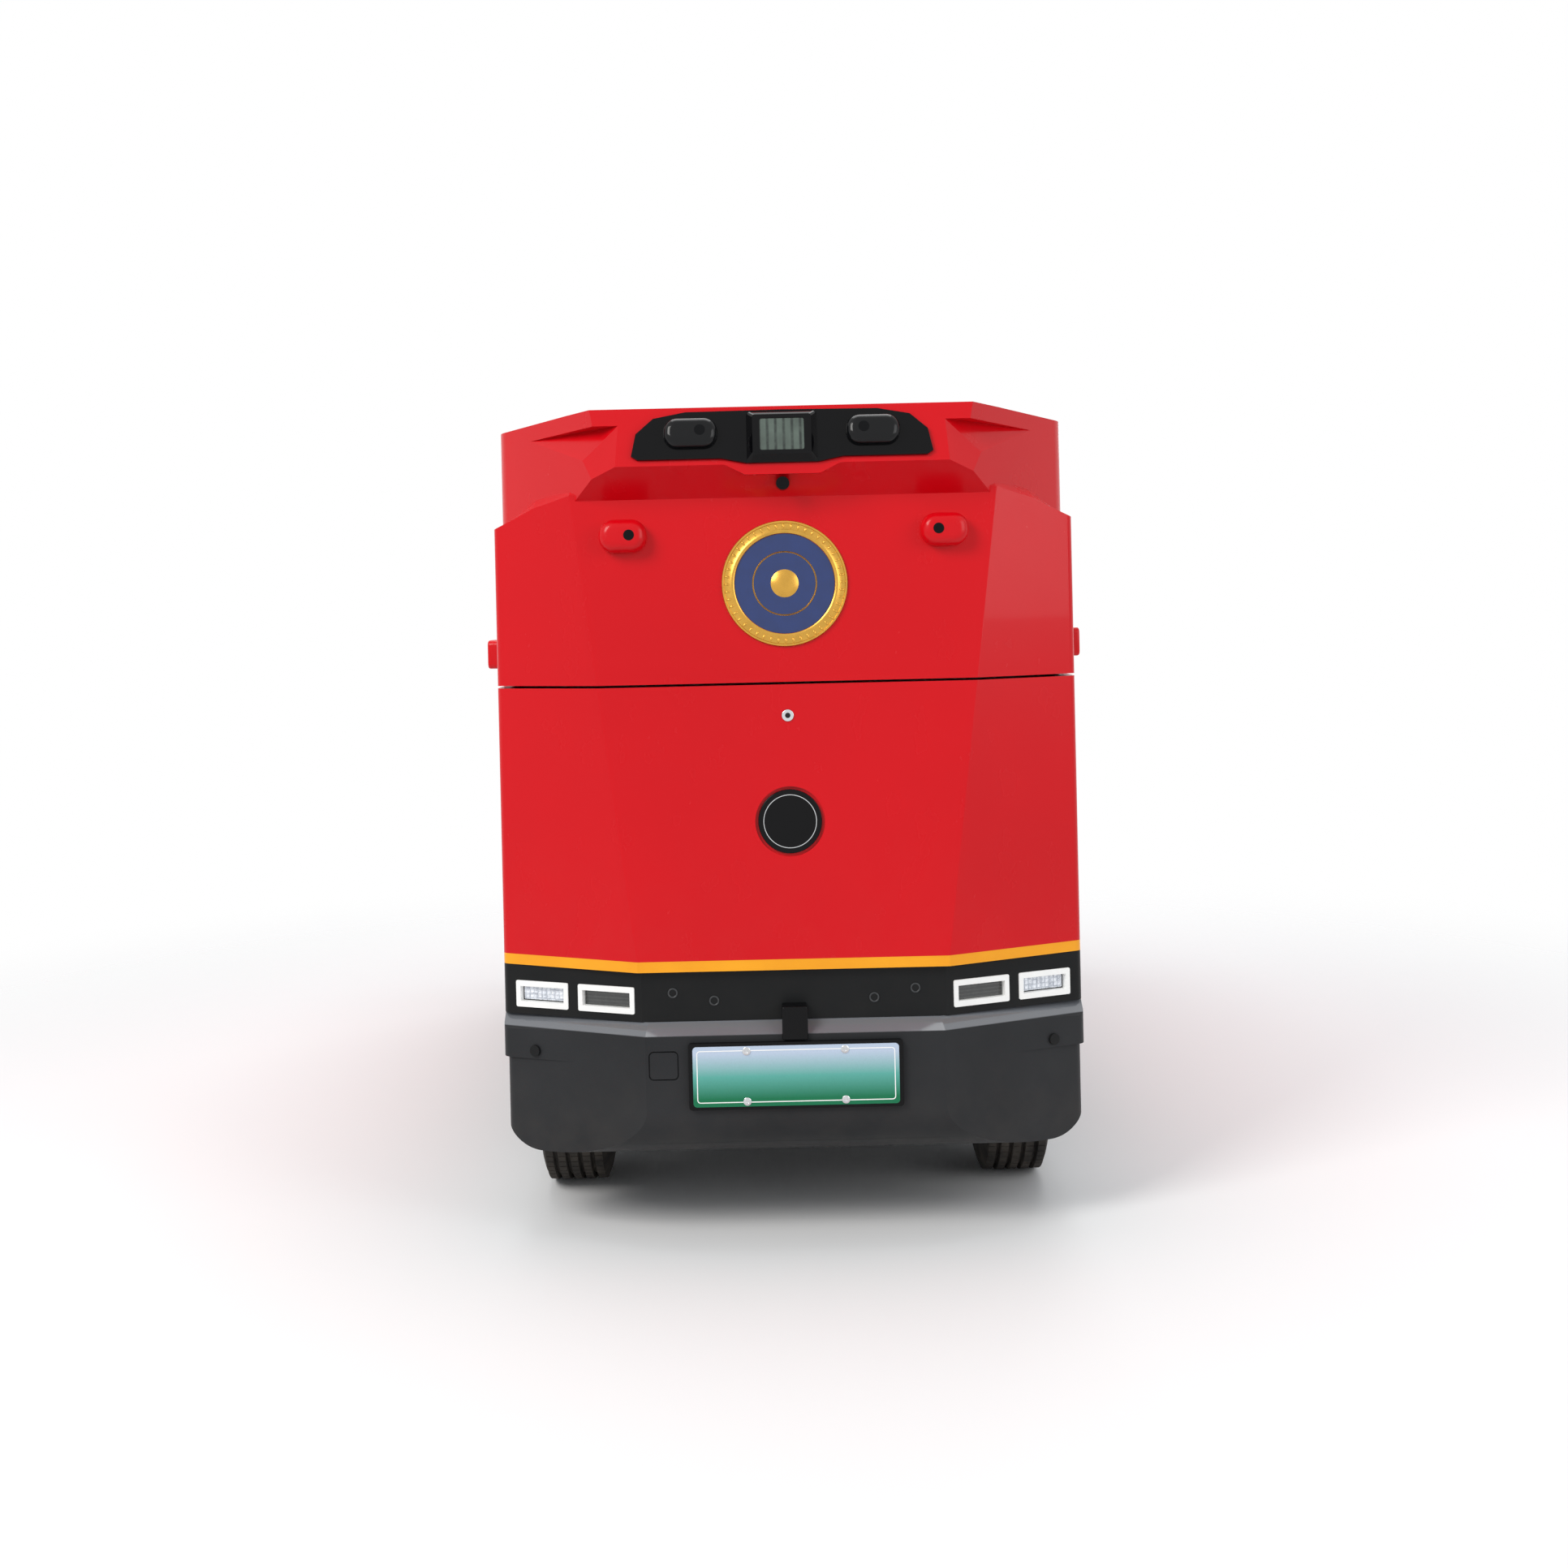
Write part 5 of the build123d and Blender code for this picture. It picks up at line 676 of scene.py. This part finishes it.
@dataclass
class Wheel:
    """A wheel's tyre with its cut tread, and the nuts of its rim."""

    bench: Bench
    node: str
    body: str
    side: int
    radius: float = 0.29
    width: float = 0.175
    rim_radius: float = 0.178
    tread_depth: float = 0.007
    ribs: int = 5
    groove: float = 0.009
    steps: int = 76
    cut_gap: float = 0.0016
    nut_circle: float = 0.052
    nut_radius: float = 0.0115
    nut_height: float = 0.016
    nuts: int = 5

    def tread_profile(self) -> list[tuple[float, float]]:
        """Outline of the tyre across its width, as places along the axle and radii."""
        half = self.width / 2
        tread_half = half - 0.014
        low = self.radius - self.tread_depth
        pitch = (2 * tread_half + self.groove) / self.ribs
        points = [(half - 0.022, self.rim_radius - 0.004), (half - 0.012, self.rim_radius + 0.004),
                  (half - 0.006, self.rim_radius + 0.014), (half - 0.001, self.rim_radius + 0.034),
                  (half, self.rim_radius + 0.052), (half - 0.0015, self.rim_radius + 0.056),
                  (half - 0.001, self.rim_radius + 0.062), (half - 0.005, self.radius - 0.03),
                  (half - 0.009, self.radius - 0.017)]
        for rib in range(self.ribs):
            start = tread_half - rib * pitch
            end = start - pitch + self.groove
            points += [(start, low - 0.0012 * (rib == 0)), (end, low - 0.0012 * (rib == self.ribs - 1))]
            if rib < self.ribs - 1:
                points += [(end - 0.0015, low - 0.006), (end - self.groove + 0.0015, low - 0.006)]
        mirrored = [(-x, r) for x, r in reversed(points[:9])]
        return points + mirrored

    def build_tyre(self) -> None:
        """Turn the tyre, which stands for its CAD node, and raise its tread blocks."""
        mesh = self.bench.turned(self.tread_profile(), self.steps, closed=True)
        low = self.radius - self.tread_depth - self.cut_gap
        blocks = [
            face for face in mesh.faces
            if all(Vector((v.co.y, v.co.z)).length > low for v in face.verts)
            and abs(face.normal.x) < 0.3
        ]
        bmesh.ops.inset_individual(mesh, faces=blocks, thickness=self.cut_gap,
                                   depth=self.tread_depth - 0.0006, use_even_offset=True)
        inner = [e for e in mesh.edges if e.is_boundary]
        bmesh.ops.holes_fill(mesh, edges=inner)
        bmesh.ops.recalc_face_normals(mesh, faces=mesh.faces)
        low_box, high_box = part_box(self.node)
        centre = (low_box + high_box) / 2
        tyre = self.bench.put(mesh, f"tread_{self.node}", "tyre_rubber", self.body,
                              Matrix.Translation(centre), "tyre_rubber", 28.0)
        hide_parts(self.node)

    def build_nuts(self) -> None:
        """Set the wheel nuts on the rim's outer face."""
        rim_low, rim_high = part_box(self.node.replace("tyre", "rim"))
        centre = (rim_low + rim_high) / 2
        face_x = self.hub_face(centre)
        parts = []
        for number in range(self.nuts):
            angle = FULL_TURN * number / self.nuts
            nut = bmesh.new()
            bmesh.ops.create_cone(nut, cap_ends=True, segments=6, radius1=self.nut_radius,
                                  radius2=self.nut_radius - 0.001, depth=self.nut_height)
            self.bench.soften(nut, [e for e in nut.edges if all(v.co.z > 0 for v in e.verts)], 0.0015, 2)
            place = Matrix.Translation(Vector((face_x, centre.y + self.nut_circle * cos(angle),
                                               centre.z + self.nut_circle * sin(angle))))
            parts.append((nut, place @ Matrix.Rotation(self.side * pi / 2, 4, "Y")))
        self.bench.put(self.bench.joined(parts), f"nuts_{self.node}", "steel_bright", self.body, None,
                       "steel_satin")

    def hub_face(self, centre: Vector) -> float:
        """Where the rim's disc shows outwards at the nuts' circle, read from its mesh."""
        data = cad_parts[self.node.replace("tyre", "rim")].data
        near = [v.co.x for v in data.vertices
                if abs(Vector((v.co.y - centre.y, v.co.z - centre.z)).length - self.nut_circle) < 0.03]
        return (max(near) if self.side > 0 else min(near)) + self.side * 0.006


@dataclass
class Lamp:
    """One lamp's optic, set in its bezel's window on a swept facet."""

    bench: Bench
    name: str
    x: float
    width: float
    crystal: bool
    height: float = 0.036
    z: float = 0.575
    facet_half: float = 0.358
    corner_x: float = 0.70
    front_y: float = -1.598
    corner_y: float = -1.451
    window_depth: float = 0.0128
    rows: tuple[int, ...] = (-1, 0, 1)
    columns: int = 9
    row_pitch: float = 0.0098
    prism_radius: float = 0.0052

    def frame(self, proud: float = 0.0) -> Matrix:
        """Frame on the facet at the lamp's middle, moved out by a distance."""
        sweep = atan2(self.corner_y - self.front_y, self.corner_x - self.facet_half)
        side = 1 if self.x > 0 else -1
        y = self.front_y + (abs(self.x) - self.facet_half) * tan(sweep)
        outward = Vector((side * sin(sweep), -cos(sweep), 0))
        origin = Vector((self.x, y, self.z)) + outward * proud
        return self.bench.facing(origin, outward)

    def build(self) -> None:
        """Make the optic: a crystal cover with three rows of prisms, or a smoked window."""
        place = self.frame(-self.window_depth + 0.004)
        width = self.width - 0.0265
        if self.crystal:
            cover = self.bench.block(width - 0.006, self.height - 0.006, 0.004, 0.002, 0.0012)
            self.bench.put(cover, f"optic_{self.name}", "lamp_crystal", "body", place, "lamp_glass")
            cells = []
            for row in self.rows:
                for column in range(self.columns):
                    lens = bmesh.new()
                    bmesh.ops.create_uvsphere(lens, u_segments=12, v_segments=8, radius=self.prism_radius)
                    bmesh.ops.scale(lens, verts=lens.verts, vec=(1, 1, 0.35))
                    x = (column - self.columns // 2) * (width - 0.012) / self.columns
                    cells.append((lens, Matrix.Translation(Vector((x, row * self.row_pitch, 0.0002)))))
            self.bench.put(self.bench.joined(cells), f"prisms_{self.name}", "lamp_crystal", "body", place,
                           "lamp_glass")
        else:
            cover = self.bench.block(width - 0.0015, self.height - 0.0015, 0.003, 0.0015, 0.0008)
            self.bench.put(cover, f"optic_{self.name}", "lamp_smoke", "body", place, "lamp_glass")


@dataclass
class CameraPods:
    """The rounded hoods over the cameras of the nose and the visor, and the pods on the sides."""

    bench: Bench
    face_size: Place = (0.112, 0.078, 0.0425)
    face_place: tuple[float, float] = (0.380, 1.668)
    visor_size: Place = (0.127, 0.072, 0.0255)
    visor_place: Place = (0.213, -1.6208, 1.902)
    visor_lean: float = 0.2336
    side_size: Place = (0.129, 0.074, 0.0668)
    side_place: Place = (0.70, -1.0665, 1.385)
    nose_base: tuple[float, float] = (-1.616, 0.67)
    nose_lean: float = 0.064

    def hood(self, size: Place) -> Shape:
        """Make a hood with round ends and a domed front, whose back lies at z = 0."""
        width, height, depth = size
        mesh = self.bench.block(width, height, depth, height * 0.46, min(depth * 0.8, height * 0.3), (9, 7))
        bmesh.ops.translate(mesh, verts=mesh.verts, vec=(0, 0, depth))
        return mesh

    def build_face(self) -> None:
        """Make the two red hoods of the nose and the two pods on the sides."""
        hoods = []
        x, z = self.face_place
        outward = Vector((0, -1, self.nose_lean)).normalized()
        y = self.nose_base[0] + self.nose_lean * (z - self.nose_base[1])
        for side in (-1, 1):
            hoods.append((self.hood(self.face_size), self.bench.facing((side * x, y, z), outward)))
            pod = self.bench.block(*self.side_size, 0.014, 0.006)
            px, py, pz = self.side_place
            hoods.append((pod, self.bench.facing((side * (px + self.side_size[2]), py, pz), (side, 0, 0))))
        piece = self.bench.put(self.bench.joined(hoods), "pods_red", "body_red", "body", None, "body_red")
        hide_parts("camera_pods")

    def build_visor(self) -> None:
        """Make the two gloss hoods of the visor."""
        hoods = []
        x, y, z = self.visor_place
        outward = (0, -1, self.visor_lean)
        for side in (-1, 1):
            hoods.append((self.hood(self.visor_size), self.bench.facing((side * x, y, z), outward)))
        piece = self.bench.put(self.bench.joined(hoods), "pods_black", "visor_black", "body", None,
                               "gloss_black")
        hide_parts("crown_cameras")

    def build(self) -> None:
        """Make all hoods."""
        self.build_face()
        self.build_visor()


@dataclass
class SensorRims:
    """The thin rims round the bumper's and the lamp band's round sensors."""

    bench: Bench
    band_y: float = -1.598
    band_sensors: tuple[tuple[float, float], ...] = ((0.285, 0.593), (0.188, 0.573))
    band_radius: float = 0.0105
    corner_sensor: tuple[float, float] = (0.618, 0.445)
    corner_radius: float = 0.0133
    facet_half: float = 0.350
    facet_front: float = -1.636
    facet_sweep: float = 0.4839

    def rim(self, radius: float) -> Shape:
        """Turn one rim with a round back edge."""
        return self.bench.turned([(-0.0012, radius - 0.0022), (0.0022, radius - 0.0022),
                                  (0.0030, radius - 0.0008), (0.0022, radius + 0.0012),
                                  (-0.0012, radius + 0.0012)], 32, True)

    def build(self) -> None:
        """Set all six rims."""
        rims = []
        turn = Matrix.Rotation(-pi / 2, 4, "Y")
        for side in (-1, 1):
            for x, z in self.band_sensors:
                rims.append((self.rim(self.band_radius),
                             self.bench.facing((side * x, self.band_y, z), (0, -1, 0)) @ turn))
            x, z = self.corner_sensor
            y = self.facet_front + (x - self.facet_half) * self.facet_sweep
            outward = (side * self.facet_sweep, -1, 0)
            rims.append((self.rim(self.corner_radius), self.bench.facing((side * x, y, z), outward) @ turn))
        self.bench.put(self.bench.joined(rims), "sensor_rims", "sensor_grey", "body", None, "gloss_black")


@dataclass
class NumberPlate:
    """The blank plate's raised rim and its four bolts."""

    bench: Bench
    width: float = 0.462
    height: float = 0.122
    z: float = 0.406
    face_y: float = -1.65
    bolt_x: float = 0.1145
    bolt_z: float = 0.0585

    def build(self) -> None:
        """Press the rim into the plate and set the bolts."""
        place = self.bench.facing((0, self.face_y + 0.0004, self.z), (0, -1, 0))
        rim = self.bench.frame_ring(self.width, self.height, 0.0022, 0.0012, 0.008)
        self.bench.put(rim, "plate_rim", "lamp_white", "body",
                       place @ Matrix.Translation(Vector((0, 0, 0.0006))), "plate_green")
        bolts = []
        for side in (-1, 1):
            for level in (-1, 1):
                bolt = self.bench.turned([(0.0, 0.0001), (0.0, 0.0092), (0.0012, 0.0094), (0.0022, 0.0078),
                                          (0.0024, 0.0040), (0.0014, 0.0036), (0.0014, 0.0001)], 24)
                place = (side * self.bolt_x, self.face_y, self.z + level * self.bolt_z)
                spot = Matrix.Translation(Vector(place))
                bolts.append((bolt, spot @ Matrix.Rotation(-pi / 2, 4, "Z")))
        self.bench.put(self.bench.joined(bolts), "plate_bolts", "steel_bright", "body", None, "steel_satin")


@dataclass
class NoseTrim:
    """Small round things on the nose: the badge, the disc's bright line and the lock's core."""

    bench: Bench
    base_y: float = -1.616
    base_z: float = 0.67
    lean: float = 0.064
    flutes: int = 48

    def frame(self, x: float, z: float, proud: float) -> Matrix:
        """Frame on the nose's middle facet, moved out by a distance."""
        outward = Vector((0, -1, self.lean)).normalized()
        origin = Vector((x, self.base_y + self.lean * (z - self.base_z), z)) + outward * proud
        return self.bench.facing(origin, outward) @ Matrix.Rotation(-pi / 2, 4, "Y")

    def build_badge(self, z: float = 1.549, radius: float = 0.15) -> None:
        """Make the plain round badge: a fluted gilt rim, an enamel field and a domed boss."""
        rim = self.bench.turned([(-0.001, radius - 0.031), (0.0044, radius - 0.0305),
                                 (0.0066, radius - 0.027), (0.0058, radius - 0.0225),
                                 (0.0046, radius - 0.021), (0.0046, radius - 0.0075),
                                 (0.0064, radius - 0.006), (0.0062, radius - 0.002), (0.001, radius),
                                 (-0.001, radius)], 96, True)
        flutes = [(rim, Matrix.Identity(4))]
        for number in range(self.flutes):
            flute = bmesh.new()
            bmesh.ops.create_uvsphere(flute, u_segments=10, v_segments=6, radius=0.0038)
            bmesh.ops.scale(flute, verts=flute.verts, vec=(0.45, 0.75, 1.5))
            turn = Matrix.Rotation(FULL_TURN * number / self.flutes, 4, "X")
            flutes.append((flute, turn @ Matrix.Translation(Vector((0.0046, 0, radius - 0.0143)))))
        place = self.frame(0, z, 0.0)
        self.bench.put(self.bench.joined(flutes), "badge_rim", "badge_gold", "body", place, "steel_satin",
                       50.0)
        field_disc = self.bench.turned([(-0.0005, 0.0001), (0.0034, 0.0001), (0.0026, radius * 0.5),
                                        (0.0012, radius - 0.0315), (-0.0005, radius - 0.0315)], 72)
        self.bench.put(field_disc, "badge_field", "badge_blue", "body", place, "lens_glass", 50.0)
        boss = self.bench.turned([(0.001, 0.0001), (0.0102, 0.0001), (0.0092, 0.014), (0.0064, 0.026),
                                  (0.0036, 0.033), (0.0001, 0.0335)], 64)
        ring = self.bench.turned([(0.001, radius * 0.5 - 0.003), (0.0046, radius * 0.5),
                                  (0.001, radius * 0.5 + 0.003)], 72, True)
        gilt = [(boss, Matrix.Identity(4)), (ring, Matrix.Identity(4))]
        self.bench.put(self.bench.joined(gilt), "badge_boss", "badge_gold", "body", place, "steel_satin",
                       50.0)

    def build_disc_line(self, z: float = 0.99, radius: float = 0.062) -> None:
        """Lay the thin bright ring into the round disc."""
        depth = -0.002
        ring = self.bench.turned([(-0.001, radius - 0.0016), (0.0009, radius - 0.0008),
                                  (0.0009, radius + 0.0008), (-0.001, radius + 0.0016)], 72, True)
        self.bench.put(ring, "disc_line", "steel_bright", "body", self.frame(0, z, depth), "steel_satin",
                       50.0)

    def build_lock(self, z: float = 1.238) -> None:
        """Set the black core into the bright lock ring."""
        core = self.bench.turned([(0.0, 0.0001), (0.0035, 0.0001), (0.0035, 0.0052), (0.0028, 0.0064),
                                  (-0.002, 0.0064)], 32)
        self.bench.put(core, "lock_core", "seal_rubber", "body", self.frame(0, z, 0.0004), "gloss_black")

    def build(self) -> None:
        """Make every trim piece of the nose."""
        self.build_badge()
        self.build_disc_line()
        self.build_lock()


@dataclass
class Studio:
    """The floor, the lamps, the world and the camera."""

    eye: Place = (-0.0642, -6.1095, 1.5135)
    pitch: float = -0.0069
    roll: float = -0.0226
    focal_px: float = 2370.5
    shift_px: tuple[float, float] = (-31.87, -211.53)
    frame_px: float = 1932.0
    sensor_mm: float = 36.0
    floor_fade: tuple[float, float] = (1.6, 4.6)

    @staticmethod
    def white_to_eye(wires: Wiring, plain: bpy.types.Node) -> None:
        """Show plain white, and not the lighting background, to camera, mirror and glass rays."""
        path = wires.add("ShaderNodeLightPath")
        either = wires.add("ShaderNodeMath", operation="MAXIMUM")
        wires.join(path.outputs["Is Camera Ray"], either.inputs[0])
        wires.join(path.outputs["Is Transmission Ray"], either.inputs[1])
        glossy = wires.add("ShaderNodeMath", operation="MAXIMUM")
        wires.join(either.outputs[0], glossy.inputs[0])
        wires.join(path.outputs["Is Glossy Ray"], glossy.inputs[1])
        white = wires.add("ShaderNodeBackground")
        white.inputs["Color"].default_value = (1, 1, 1, 1)
        white.inputs["Strength"].default_value = 1.0
        mix = wires.add("ShaderNodeMixShader")
        wires.join(glossy.outputs[0], mix.inputs[0])
        wires.join(plain.outputs[0], mix.inputs[1])
        wires.join(white.outputs[0], mix.inputs[2])
        wires.join(mix.outputs[0], wires.found("OUTPUT_WORLD").inputs["Surface"])

    def build_world(self) -> None:
        """Light the truck from all round with a soft, slightly cool grey."""
        world = bpy.data.worlds.new("studio_world")
        bpy.context.scene.world = world
        world.use_nodes = True
        wires = Wiring(world.node_tree)
        plain = wires.found("BACKGROUND")
        plain.inputs["Color"].default_value = (0.93, 0.96, 1.0, 1)
        plain.inputs["Strength"].default_value = 0.5
        self.white_to_eye(wires, plain)

    def fade_out(self, wires: Wiring, shader: bpy.types.Node) -> None:
        """Let the floor's shader fade into the white surroundings away from the truck."""
        place = wires.add("ShaderNodeTexCoord")
        length = wires.add("ShaderNodeVectorMath", operation="LENGTH")
        wires.join(place.outputs["Object"], length.inputs[0])
        fade = wires.add("ShaderNodeMapRange", interpolation_type="SMOOTHSTEP")
        fade.inputs["From Min"].default_value, fade.inputs["From Max"].default_value = self.floor_fade
        wires.join(length.outputs["Value"], fade.inputs["Value"])
        clear = wires.add("ShaderNodeBsdfTransparent")
        mix = wires.add("ShaderNodeMixShader")
        wires.join(fade.outputs["Result"], mix.inputs[0])
        wires.join(shader.outputs[0], mix.inputs[1])
        wires.join(clear.outputs[0], mix.inputs[2])
        wires.join(mix.outputs[0], wires.found("OUTPUT_MATERIAL").inputs["Surface"])

    def build_floor(self) -> None:
        """Lay the pale floor that keeps the truck's shadow."""
        mesh = bmesh.new()
        bmesh.ops.create_grid(mesh, x_segments=1, y_segments=1, size=20.0)
        data = bpy.data.meshes.new("studio_floor")
        mesh.to_mesh(data)
        mesh.free()
        floor = bpy.data.objects.new("studio_floor", data)
        bpy.context.scene.collection.objects.link(floor)
        material = bpy.data.materials.new("floor_paper")
        material.use_nodes = True
        wires = Wiring(material.node_tree)
        shader = wires.found("BSDF_PRINCIPLED")
        shader.inputs["Base Color"].default_value = (0.9, 0.9, 0.9, 1)
        shader.inputs["Roughness"].default_value = 0.9
        shader.inputs["Specular IOR Level"].default_value = 0.1
        self.fade_out(wires, shader)
        data.materials.append(material)

    @staticmethod
    def add_lamp(name: str, place: Place, size: float, power: float, tint: Colour = (1.0, 1.0, 1.0)) -> None:
        """Hang a soft square lamp that points at the truck's nose.

        Args:
            name: Name of the lamp.
            place: Where it hangs, in metres.
            size: Its side, in metres.
            power: Its power in watts.
            tint: Its colour.
        """
        data = bpy.data.lights.new(name, "AREA")
        data.size = size
        data.energy = power
        data.color = tint
        lamp = bpy.data.objects.new(name, data)
        aim = Vector((0, -0.6, 1.0)) - Vector(place)
        turn = aim.to_track_quat("-Z", "Y").to_matrix().to_4x4()
        lamp.matrix_world = Matrix.Translation(Vector(place)) @ turn
        bpy.context.scene.collection.objects.link(lamp)

    def build_lamps(self) -> None:
        """Hang the key lamp at the upper left and weaker lamps round the truck."""
        self.add_lamp("key_lamp", (-4.2, -5.6, 5.2), 3.0, 300.0, (1.0, 0.98, 0.95))
        self.add_lamp("fill_lamp", (4.6, -4.8, 3.0), 3.4, 90.0)
        self.add_lamp("top_lamp", (0.0, 0.4, 6.5), 4.5, 160.0)
        self.add_lamp("back_lamp", (1.5, 6.0, 4.0), 3.5, 130.0)

    def build_camera(self) -> None:
        """Set the camera where the photograph was taken from."""
        forward = Vector((0, cos(self.pitch), sin(self.pitch)))
        right = Vector((1, 0, 0))
        up = right.cross(forward)
        turned_right = right * cos(self.roll) + up * sin(self.roll)
        turned_up = up * cos(self.roll) - right * sin(self.roll)
        turn = Matrix((turned_right, turned_up, -forward)).transposed().to_4x4()
        data = bpy.data.cameras.new("photo_camera")
        data.sensor_width = self.sensor_mm
        data.lens = self.focal_px / self.frame_px * self.sensor_mm
        data.shift_x = -self.shift_px[0] / self.frame_px
        data.shift_y = self.shift_px[1] / self.frame_px
        data.clip_end = 200.0
        camera = bpy.data.objects.new("photo_camera", data)
        camera.matrix_world = Matrix.Translation(Vector(self.eye)) @ turn
        bpy.context.scene.collection.objects.link(camera)
        bpy.context.scene.camera = camera

    def build(self) -> None:
        """Set up the whole studio."""
        bpy.context.scene.view_settings.view_transform = "Standard"
        self.build_world()
        self.build_floor()
        self.build_lamps()
        self.build_camera()


def main() -> None:
    """Dress the truck piece by piece and set up the studio."""
    logging.basicConfig(level=logging.INFO, format="%(message)s")
    bench = Bench(PaintShop())
    Studio().build()
    Bodywork(bench).dress()
    for end in ("front", "rear"):
        for side_name, side in SIDES:
            wheel = Wheel(bench, f"tyre_{end}_{side_name}", f"wheel_{end}_{side_name}", side)
            wheel.build_tyre()
            wheel.build_nuts()
    for side_name, side in SIDES:
        Lamp(bench, f"inner_{side_name}", side * 0.444, 0.150, False).build()
        Lamp(bench, f"outer_{side_name}", side * 0.603, 0.142, True).build()
    CameraPods(bench).build()
    SensorRims(bench).build()
    NumberPlate(bench).build()
    NoseTrim(bench).build()
    LOG.info("made %d pieces", len(bench.pieces))


if __name__ == "__main__":
    main()
